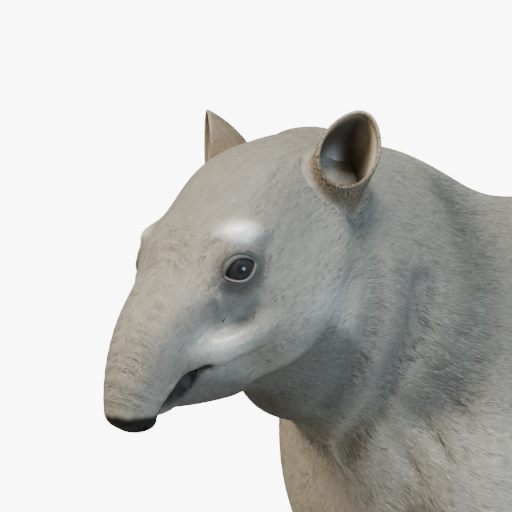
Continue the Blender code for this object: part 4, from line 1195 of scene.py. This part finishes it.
def make_tufts(name, root, normal, way, length, tone, uv, facing, put_down=None):
    """Tufts that lie flat: each a thin closed lozenge of a sunk root, two sides, a ridge and a tip.

    Put_down says how far a place lies off the skin. A tuft is shaded by the way that the skin under it faces,
    so that the hair lies as one coat.
    """
    across = np.cross(normal, way)
    width = (0.10 * length + 0.0003)[:, None]
    lift = (0.030 * length + 0.0001)[:, None]
    mid, tip = root + RIDGE_AT * length[:, None] * way, root + length[:, None] * way
    if put_down is not None:
        mid = mid - put_down(mid)[:, None] * normal
        tip = tip - put_down(tip)[:, None] * normal
    points = np.stack([
        root - BURIED * normal,
        mid - 0.5 * width * across,
        mid + 0.5 * width * across,
        mid + lift * normal,
        tip + 0.7 * lift * normal,
    ], axis=1)
    faces = np.array([(0, 1, 3), (0, 3, 2), (4, 3, 1), (4, 2, 3), (0, 2, 1), (4, 1, 2)])
    first = 5 * np.arange(len(root))[:, None, None]
    made = put_mesh(name, points.reshape(-1, 3), (first + faces).reshape(-1, 3))
    store(made, "tone", np.repeat(tone, 5, axis=0))
    lean = 0.45 * across
    made.data.normals_split_custom_set_from_vertices(
        np.stack([facing, unit(facing - lean), unit(facing + lean), facing, facing], axis=1).reshape(-1, 3))
    places = np.array([(0.5, 0.0), (0.0, RIDGE_AT), (1.0, RIDGE_AT), (0.5, RIDGE_AT), (0.5, 1.0)])
    flat = uv[:, None, :] + PATCH * (places[faces.ravel()] - 0.5)
    made.data.uv_layers.new(name="OFBake").data.foreach_set("uv", flat.astype(np.float32).ravel())
    return made


def stretched_out(values):
    """Values brought to the span of a UV map with a margin."""
    low, high = values.min(), values.max()
    return 0.01 + 0.98 * (values - low) / max(high - low, 1e-6)


def regions(points, flesh):
    """The region of each place, and its place on an unwrap round that region's own axis."""
    ahead = MIDDLE - points[:, 1]
    t, u, v = flesh.head_places(points)
    middle, _ = foot_spread(points)
    leg = leg_share(points) > 0.5
    head = (ahead > 0.62) & ~leg
    region = np.where(head, 1, 0)
    region[leg] = 2 + (points[leg, 0] > 0.0) + 2 * (ahead[leg] > 0.0)
    along = np.where(head, t, np.where(leg, points[:, 2], ahead))
    around = np.where(head, np.arctan2(u, v), np.where(
        leg,
        np.arctan2(points[:, 0] - middle[:, 0], points[:, 1] - middle[:, 1]),
        np.arctan2(points[:, 0], points[:, 2] - 0.74),
    ))
    return region, along, (around + np.pi) / (2.0 * np.pi)


REGION_NAMES = ["body", "head", "hindleg_right", "hindleg_left", "foreleg_right", "foreleg_left"]


def make_coat(skin, flesh, random):
    """Tufts over the whole skin, in pieces cut along each region's own axis."""
    points, normals, triangles = points_of(skin), normals_of(skin), triangles_of(skin)
    corners = points[triangles]
    centre = corners.mean(axis=1)
    length = hair_length(centre)
    gap = np.interp(length, [0.005, 0.0075, 0.013, 0.019], [0.0022, 0.0027, 0.0036, 0.0049])
    clear = bare_share(centre, flesh) > 0.5
    which, share = sample_triangles(corners, np.where(clear, 0.0, 1.0 / gap**2), random)
    root = (points[triangles[which]] * share[:, :, None]).sum(axis=1)
    normal = unit((normals[triangles[which]] * share[:, :, None]).sum(axis=1))
    way = laid_flat(hair_ways(root, flesh), normal)
    x, y, z = root.T
    swirl = 0.20 * np.sin(37.0 * x + 23.0 * z) * np.sin(29.0 * y - 17.0 * z)
    turn = swirl + 0.12 * random.standard_normal(len(root))
    way = np.cos(turn)[:, None] * way + np.sin(turn)[:, None] * np.cross(normal, way)
    length = hair_length(root) * random.uniform(0.7, 1.25, len(root))
    tone = markings(root, flesh) * random.normal(1.0, 0.07, len(root))[:, None].clip(0.8, 1.2)
    table = random.uniform(-1.0, 1.0, (24, 24, 24))
    side = np.cross(normal, way)
    step = 0.0012
    here = wrinkle_height(root, flesh, table)
    ahead_slope = wrinkle_height(root + step * way, flesh, table) - here
    side_slope = wrinkle_height(root + step * side, flesh, table) - here
    facing = unit(normal - WRINKLE * (ahead_slope[:, None] * way + side_slope[:, None] * side))
    # painted light and shade: tufts darker low in the wrinkles and the shading lines' grooves, lighter on
    # their ridges
    tone *= (0.62 + 0.46 * here)[:, None].clip(0.40, 1.3)
    region, along, around = regions(root, flesh)
    made = []
    for index, name in enumerate(REGION_NAMES):
        chosen = np.flatnonzero(region == index)
        chosen = chosen[np.argsort(along[chosen])]
        parts = np.array_split(chosen, -(-len(chosen) // TUFTS_A_PIECE))
        for number, part in enumerate(parts, 1):
            uv = np.stack([stretched_out(along[part]), 0.01 + 0.98 * around[part]], axis=1)
            made.append(make_tufts(f"coat_{name}_{number}", root[part], normal[part], way[part], length[part],
                                   tone[part], uv, facing[part], flesh.distance))
    return made


def bare_share(points, flesh):
    """1 where no hair grows: nose pad, mouth, lids, brow and soles."""
    ahead, height = MIDDLE - points[:, 1], points[:, 2]
    pad = smooth((0.732 - height) / 0.006) * smooth((ahead - 0.880) / 0.014)
    mouth = flesh.nearness(points, flesh.paths[MOUTH][2], 0.007)
    lids = past_slit(points)[0] < LID_REACH + 0.0010
    brow = shining(points, BROW, 0.0230)
    return np.maximum.reduce([pad, mouth, lids.astype(float), brow, (height < 0.006).astype(float)])


def make_ear_hair(ear, side, random):
    """Hair of an ear: up the outer wall, out over the rim, and longest on the lump inside."""
    points, normals, triangles = points_of(ear), normals_of(ear), triangles_of(ear)
    fields = {}
    for name in ("cup", "rim", "lump", "wall", "row", "round"):
        values = np.empty(len(points), np.float32)
        ear.data.attributes[name].data.foreach_get("value", values)
        fields[name] = values[triangles].mean(axis=1)
    inside = fields["cup"] > 0.0
    density = np.where(inside, 1.0e5 * fields["rim"] + 2.4e5 * fields["lump"], 2.4e5)
    density = np.where(~inside & (fields["row"] < 0.015), 0.0, density)
    lean = EAR_LEAN[side]
    up = unit(np.array([side * lean[0], -lean[1], lean[2]]))
    level = np.abs(normals[triangles].mean(axis=1) @ up) > 0.85
    which, share = sample_triangles(points[triangles], np.where(level, 0.0, density), random)
    corner = triangles[which]
    root = (points[corner] * share[:, :, None]).sum(axis=1)
    normal = unit((normals[corner] * share[:, :, None]).sum(axis=1))
    way = laid_flat(up + 0.10 * random.standard_normal((len(root), 3)), normal)
    cup, rim, lump, wall, row, turn = (values[which] for values in fields.values())
    length = (0.0030 - 0.0012 * rim + 0.0020 * lump) * random.uniform(0.7, 1.25, len(root))
    way = unit(way + normal * (0.15 * lump)[:, None])
    # the ear's tone on the tufts too, with its painted shade and light
    tone = ear_tone(cup, rim, lump, wall, row) * random.normal(1.0, 0.12, len(root))[:, None].clip(0.7, 1.3)
    uv = np.stack([0.01 + 0.98 * row, 0.01 + 0.98 * turn], axis=1)
    return make_tufts(f"coat_ear_{side_name(side)}", root, normal, way, length, tone, uv, normal)


def ear_tone(cup, rim, lump, wall, row):
    """Brown outside, the skin's tone at the foot, a pale rim, painted shade inside with painted light on the
    far wall, and a grey lump.
    """
    tone = np.tile(np.array(EAR_TONE), (len(row), 1))
    for colour, share in (
        (SKIN_TONE, smooth((0.12 - row) / 0.10)),
        # painted shade inside the cup
        (CUP_SHADE_TONE, smooth(cup / 0.25)),
        # painted light on the cup's far wall
        (PAINTED_LIGHT_WALL_TONE, wall * smooth(cup / 0.20) * smooth((0.85 - cup) / 0.4)),
        (LUMP_TONE, lump),
        (RIM_TONE, rim),
    ):
        tone += (np.array(colour) - tone) * share[:, None]
    return tone


# Shader maths


class Socket:
    """A shader socket that takes part in sums: the operators add Math nodes."""

    def __init__(self, tree, socket):
        self.tree, self.socket = tree, socket

    def math(self, operation, *others):
        """The outcome of a Math node on this socket and the others."""
        node = self.tree.nodes.new("ShaderNodeMath")
        node.operation = operation
        for place, value in enumerate((self, *others)):
            join(self.tree, value, node.inputs[place])
        return Socket(self.tree, node.outputs[0])

    def __add__(self, other):
        return self.math("ADD", other)

    __radd__ = __add__

    def __mul__(self, other):
        return self.math("MULTIPLY", other)

    __rmul__ = __mul__

    def __sub__(self, other):
        return self.math("SUBTRACT", other)

    def __rsub__(self, other):
        return (self * -1.0) + other

    def between(self, low, high):
        """0 below low, 1 above high, and smooth in between."""
        node = self.tree.nodes.new("ShaderNodeMapRange")
        node.interpolation_type = "SMOOTHSTEP"
        join(self.tree, self, node.inputs["Value"])
        node.inputs["From Min"].default_value = low
        node.inputs["From Max"].default_value = high
        return Socket(self.tree, node.outputs["Result"])


def join(tree, value, into):
    """Links a socket into an input, or sets the input to a number or colour."""
    if isinstance(value, Socket):
        tree.links.new(value.socket, into)
    else:
        into.default_value = value


def titled(key):
    """The name of the shader's input for a keyword."""
    return key.replace("_", " ").title().replace("Ior", "IOR")


class Finish:
    """A material with a Principled shader, and the means to add nodes to it."""

    def __init__(self, name, **settings):
        self.material = bpy.data.materials.new(name)
        self.material.use_nodes = True
        self.tree = self.material.node_tree
        self.shader = self.tree.nodes["Principled BSDF"]
        for key, value in settings.items():
            self.shader.inputs[titled(key)].default_value = value

    def node(self, kind, output=0, settings=None, **inputs):
        """Adds a node of that kind, sets it up, joins its inputs by name, and gives one of its outputs."""
        made = self.tree.nodes.new("ShaderNode" + kind)
        for key, value in (settings or {}).items():
            setattr(made, key, value)
        for key, value in inputs.items():
            join(self.tree, value, next(s for s in made.inputs if s.name == key and s.enabled))
        first = next(s for s in made.outputs if s.enabled)
        return Socket(self.tree, first if output == 0 else made.outputs[output])

    def place(self):
        """The place on the piece, in its own coordinates."""
        return self.node("TexCoord", "Object")

    def attribute(self, name, output="Fac"):
        """A named attribute of the mesh."""
        return self.node("Attribute", output, {"attribute_name": name})

    def stretched(self, turn, scale):
        """The place, turned by three angles in degrees and drawn out by three factors."""
        return self.node("Mapping", settings={"vector_type": "TEXTURE"}, Vector=self.place(),
                         Rotation=tuple(map(math.radians, turn)), Scale=scale)

    def noise(self, vector, scale, detail, roughness):
        """Smooth noise, 0 to 1 and mostly near 0.5."""
        return self.node("TexNoise", "Fac", Vector=vector, Scale=scale, Detail=detail, Roughness=roughness)

    def shaded(self, share, colour, factor):
        """A colour multiplied by a factor for each channel, by the share."""
        return self.mix(share, colour, self.mix(1.0, colour, factor, "MULTIPLY"))

    def mix(self, share, a, b, blend="MIX"):
        """Colour a turned into colour b by the share."""
        made = self.tree.nodes.new("ShaderNodeMix")
        made.data_type = "RGBA"
        made.blend_type = blend
        join(self.tree, share, made.inputs[0])
        for value, into in ((a, made.inputs[6]), (b, made.inputs[7])):
            join(self.tree, (*value, 1.0) if isinstance(value, tuple) else value, into)
        return Socket(self.tree, made.outputs[2])

    def bump(self, height, distance, strength):
        """Gives the shader a bump."""
        join(self.tree, self.node("Bump", Height=height, Distance=distance, Strength=strength),
             self.shader.inputs["Normal"])

    def paint(self, **inputs):
        """Joins the shader's inputs, and gives the finished material."""
        for key, value in inputs.items():
            join(self.tree, value, self.shader.inputs[titled(key)])
        return self.material


# Finishes


def ridged(noise):
    """Noise turned into thin lines: 1 where it crosses its middle and 0 away from there."""
    return (noise - 0.5).math("ABSOLUTE").between(0.10, 0.0)


def strokes(finish, pitch, fine):
    """Noise drawn out along the hair, which lies back and up by the pitch: 9 times as long as it is wide."""
    return finish.noise(finish.stretched((pitch, 0.0, 0.0), (1.0, 9.0, 1.0)), fine, 3.0, 0.6)


def skin_finish():
    """Skin between the tufts: strokes along the hair, pores, bands on the proboscis with painted shade in
    their creases, and crossing lines.
    """
    skin = Finish("tapir skin", roughness=0.5, specular_ior_level=0.12, coat_roughness=0.36, coat_ior=1.8)
    tone = skin.attribute("tone", "Color")
    on_head, leg = skin.attribute("on_head"), skin.attribute("on_leg")
    front, rear = strokes(skin, HEAD_PITCH, 260.0), strokes(skin, -15.0, 220.0)
    upright = strokes(skin, 90.0, 220.0)
    hair = front * on_head + rear * (1.0 - on_head)
    hair = hair * (1.0 - leg) + upright * leg
    broad = skin.noise(skin.place(), 14.0, 4.0, 0.6)
    pores = skin.noise(skin.place(), 420.0, 2.0, 0.5)
    along, aside = skin.attribute("band") * 170.0, skin.attribute("aside") * 40.0
    band = skin.node("CombineXYZ", X=along, Y=aside, Z=0.0)
    patches = skin.noise(skin.place(), 55.0, 2.0, 0.5).between(0.42, 0.58)
    creases = ridged(skin.noise(band, 1.0, 3.0, 0.55)) * skin.attribute("wrinkled") * patches
    cross = skin.stretched((35.0, 0.0, 20.0), (1.0, 1.0, 3.5))
    lines = ridged(skin.noise(cross, 42.0, 2.0, 0.55))
    colour = skin.shaded(hair.between(0.35, 0.70) * 0.45, tone, (0.62, 0.60, 0.58))
    colour = skin.shaded(broad.between(0.40, 0.70) * 0.35, colour, (0.72, 0.71, 0.70))
    # painted shade in the creases of the proboscis
    colour = skin.shaded(creases * 0.45, colour, (0.45, 0.43, 0.42))
    gloss = skin.attribute("gloss")
    skin.bump(hair * 0.55 + pores * 0.12 - creases * 0.9 - lines * 0.5, 0.0009, 0.8)
    return skin.paint(base_color=colour, roughness=0.60 - gloss * 0.20 - hair * 0.08, coat_weight=gloss)


def coat_finish():
    """The tufts' tone with a fine grain."""
    coat = Finish("short coat", roughness=0.5, specular_ior_level=0.4)
    tone = coat.attribute("tone", "Color")
    grain = coat.noise(coat.place(), 700.0, 2.0, 0.5)
    colour = coat.shaded(grain.between(0.3, 0.7) * 0.5, tone, (0.78, 0.77, 0.76))
    coat.bump(grain, 0.0002, 0.5)
    return coat.paint(base_color=colour, roughness=0.50 - grain * 0.12)


def ear_finish():
    """The ears' tone, mottled, under a fine and a broad bump."""
    ear = Finish("ear skin", roughness=0.75, specular_ior_level=0.2)
    tone = ear.attribute("tone", "Color")
    grain, broad = ear.noise(ear.place(), 300.0, 3.0, 0.6), ear.noise(ear.place(), 40.0, 3.0, 0.6)
    colour = ear.shaded(broad.between(0.35, 0.7) * 0.5, tone, (0.66, 0.62, 0.58))
    ear.bump(grain * 0.6 + broad * 0.8, 0.0009, 0.7)
    return ear.paint(base_color=colour)


def lid_finish():
    """The lids: fine wrinkles, painted shade in the crease, and a dark, wetter margin."""
    lid = Finish("eyelid skin", roughness=0.5, specular_ior_level=0.25)
    margin = lid.attribute("margin")
    grain = lid.noise(lid.place(), 260.0, 4.0, 0.6)
    fine = ridged(lid.noise(lid.place(), 120.0, 2.0, 0.5))
    colour = lid.mix(grain.between(0.3, 0.7) * 0.3, lid.attribute("tone", "Color"), (0.16, 0.155, 0.145))
    # painted shade in the crease
    colour = lid.mix(lid.attribute("crease") * 0.85, colour, (0.060, 0.056, 0.050))
    colour = lid.mix(margin.between(0.35, 0.9), colour, (0.030, 0.027, 0.025))
    lid.bump(grain * 0.6 - fine * 0.5, 0.0006, 0.7)
    return lid.paint(base_color=colour, roughness=0.60 - margin * 0.30)


def eye_finish():
    """A wet, nearly black eye: pupil, iris with faint streaks, and the white's dark edge."""
    eye = Finish("wet eye", roughness=0.16, specular_ior_level=0.28)
    polar, streaks = eye.attribute("polar"), eye.noise(eye.place(), 600.0, 3.0, 0.6)
    iris = eye.mix(streaks.between(0.35, 0.65), (0.030, 0.031, 0.031), (0.026, 0.027, 0.027))
    colour = eye.mix(polar.between(0.18, 0.30), (0.016, 0.016, 0.016), iris)
    colour = eye.mix(polar.between(0.62, 0.74), colour, (0.034, 0.033, 0.032))
    return eye.paint(base_color=colour)


def horn_finish():
    """Dark horn with rings of growth and a pale grain."""
    horn = Finish("hoof horn", roughness=0.4)
    growth = horn.attribute("growth")
    rings = horn.noise(horn.node("CombineXYZ", X=growth * 34.0, Y=0.0, Z=0.0), 1.0, 2.0, 0.5)
    grain = horn.noise(horn.place(), 190.0, 4.0, 0.6)
    colour = horn.mix(rings.between(0.35, 0.65), (0.060, 0.050, 0.042), (0.032, 0.027, 0.023))
    colour = horn.mix(grain.between(0.5, 0.75) * 0.5, colour, (0.100, 0.088, 0.074))
    horn.bump(rings * 0.7 + grain * 0.4, 0.0006, 0.7)
    return horn.paint(base_color=colour, roughness=0.34 + grain * 0.20)


def floor_finish():
    """A pale, dull floor with faint patches."""
    floor = Finish("pale floor", roughness=0.7)
    broad, fine = floor.noise(floor.place(), 1.4, 3.0, 0.5), floor.noise(floor.place(), 60.0, 3.0, 0.6)
    floor.bump(fine, 0.0008, 0.3)
    colour = floor.mix(broad.between(0.35, 0.65) * 0.5, (0.42, 0.42, 0.41), (0.38, 0.38, 0.37))
    return floor.paint(base_color=colour)


# Stage


def add_light(name, place, aim, size, power, colour):
    """A round area light."""
    data = bpy.data.lights.new(name, "AREA")
    data.energy = power
    data.shape = "DISK"
    data.size = size
    data.color = colour
    made = bpy.data.objects.new(name, data)
    aimed_at(made, place, aim)


def aimed_at(obj, place, aim):
    """Puts a light or camera, which looks down its -Z, at a place and turns it to look at another."""
    obj.location = place
    obj.rotation_euler = (Vector(aim) - Vector(place)).to_track_quat("-Z", "Y").to_euler()
    bpy.context.scene.collection.objects.link(obj)


def add_stage():
    """A round floor just under the feet, the lights, and a backdrop that is white for the camera alone."""
    around, radii = 96, (2.15, 1.0, 0.001)
    angle = np.linspace(0.0, 2.0 * np.pi, around, endpoint=False)
    ring = np.stack([np.cos(angle), np.sin(angle), np.zeros(around)], axis=1)
    rings = np.concatenate([ring * radius - (0, 0, 0.0005) for radius in radii])
    floor = put_mesh("floor", rings, closed_grid(len(radii), around, first=False))
    floor.data.materials.append(floor_finish())
    aim = spot(0.0, 0.70, 0.86)
    for name, right, near, up, size, power, colour in LIGHTS:
        place = aim + right * PICTURE_RIGHT + near * TO_CAMERA + np.array([0.0, 0.0, up])
        add_light(name, place, aim, size, power, colour)
    world = bpy.data.worlds.new("studio")
    bpy.context.scene.world = world
    world.use_nodes = True
    tree = world.node_tree
    sky = tree.nodes["Background"]
    sky.inputs[0].default_value = (1.0, 1.0, 1.0, 1.0)
    seen = Socket(tree, tree.nodes.new("ShaderNodeLightPath").outputs["Is Camera Ray"])
    join(tree, seen * (BACKDROP - SKY) + SKY, sky.inputs[1])


def add_camera():
    """The photo's view: level, from the animal's left front."""
    target = spot(0.0, 0.72, 0.91)
    data = bpy.data.cameras.new("camera")
    data.angle = math.radians(23.0)
    made = bpy.data.objects.new("camera", data)
    aimed_at(made, target + 1.6 * TO_CAMERA, target)
    bpy.context.scene.camera = made


def dress(obj, material, slot, *nodes):
    """Gives a finished piece its material, lets it ride, and hides the nodes that it stands for; the slot is
    not used.
    """
    obj.data.materials.clear()
    obj.data.materials.append(material)
    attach(obj, "root")
    if nodes:
        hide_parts(*nodes)


def finish_skin(skin, flesh):
    """Writes the fields that the skin's finish reads."""
    points = points_of(skin)
    sag, share = flesh.trunk_bands(points)
    store(skin, "tone", markings(points, flesh))
    store(skin, "on_head", head_share(points))
    store(skin, "on_leg", leg_share(points))
    store(skin, "band", sag)
    store(skin, "aside", points[:, 0])
    store(skin, "wrinkled", np.where(MIDDLE - points[:, 1] > TRUNK_FROM, share, 0.0))
    store(skin, "gloss", np.maximum(shining(points, BROW, 0.024), shining(points, LIP, 0.030)))


def main():
    """Builds and dresses every piece, then the stage and the camera."""
    random = np.random.default_rng(SEED)
    flesh = Flesh()
    skin = make_skin(flesh)
    finish_skin(skin, flesh)
    flesh_nodes = [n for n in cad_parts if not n.startswith(("ear", "eye")) and "hoof" not in n]
    dress(skin, skin_finish(), "skin", *flesh_nodes)
    coat_look, ear_look, eye_look, lid_look, horn = (
        coat_finish(), ear_finish(), eye_finish(), lid_finish(), horn_finish())
    for side in (1, -1):
        word = side_name(side)
        ear = make_ear(side, flesh)
        dress(ear, ear_look, "ear_skin", f"ear_{word}")
        dress(make_ear_hair(ear, side, random), coat_look, "ear_skin")
        dress(make_eyeball(side), eye_look, "eye", f"eye_{word}")
        dress(make_lids(side, flesh), lid_look, "skin")
        for kind, fore in (("fore", True), ("hind", False)):
            for form, toe in zip(hoof_forms(side, fore), ("middle", "inner", "outer", "side")):
                name = f"{kind}hoof_{word}_{toe}"
                dress(make_hoof(f"horn_{name}", form), horn, "hoof", name)
    for piece in make_coat(skin, flesh, random):
        dress(piece, coat_look, "saddle" if "body" in piece.name else "skin")
    add_stage()
    add_camera()
    bpy.context.view_layer.update()
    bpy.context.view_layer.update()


main()
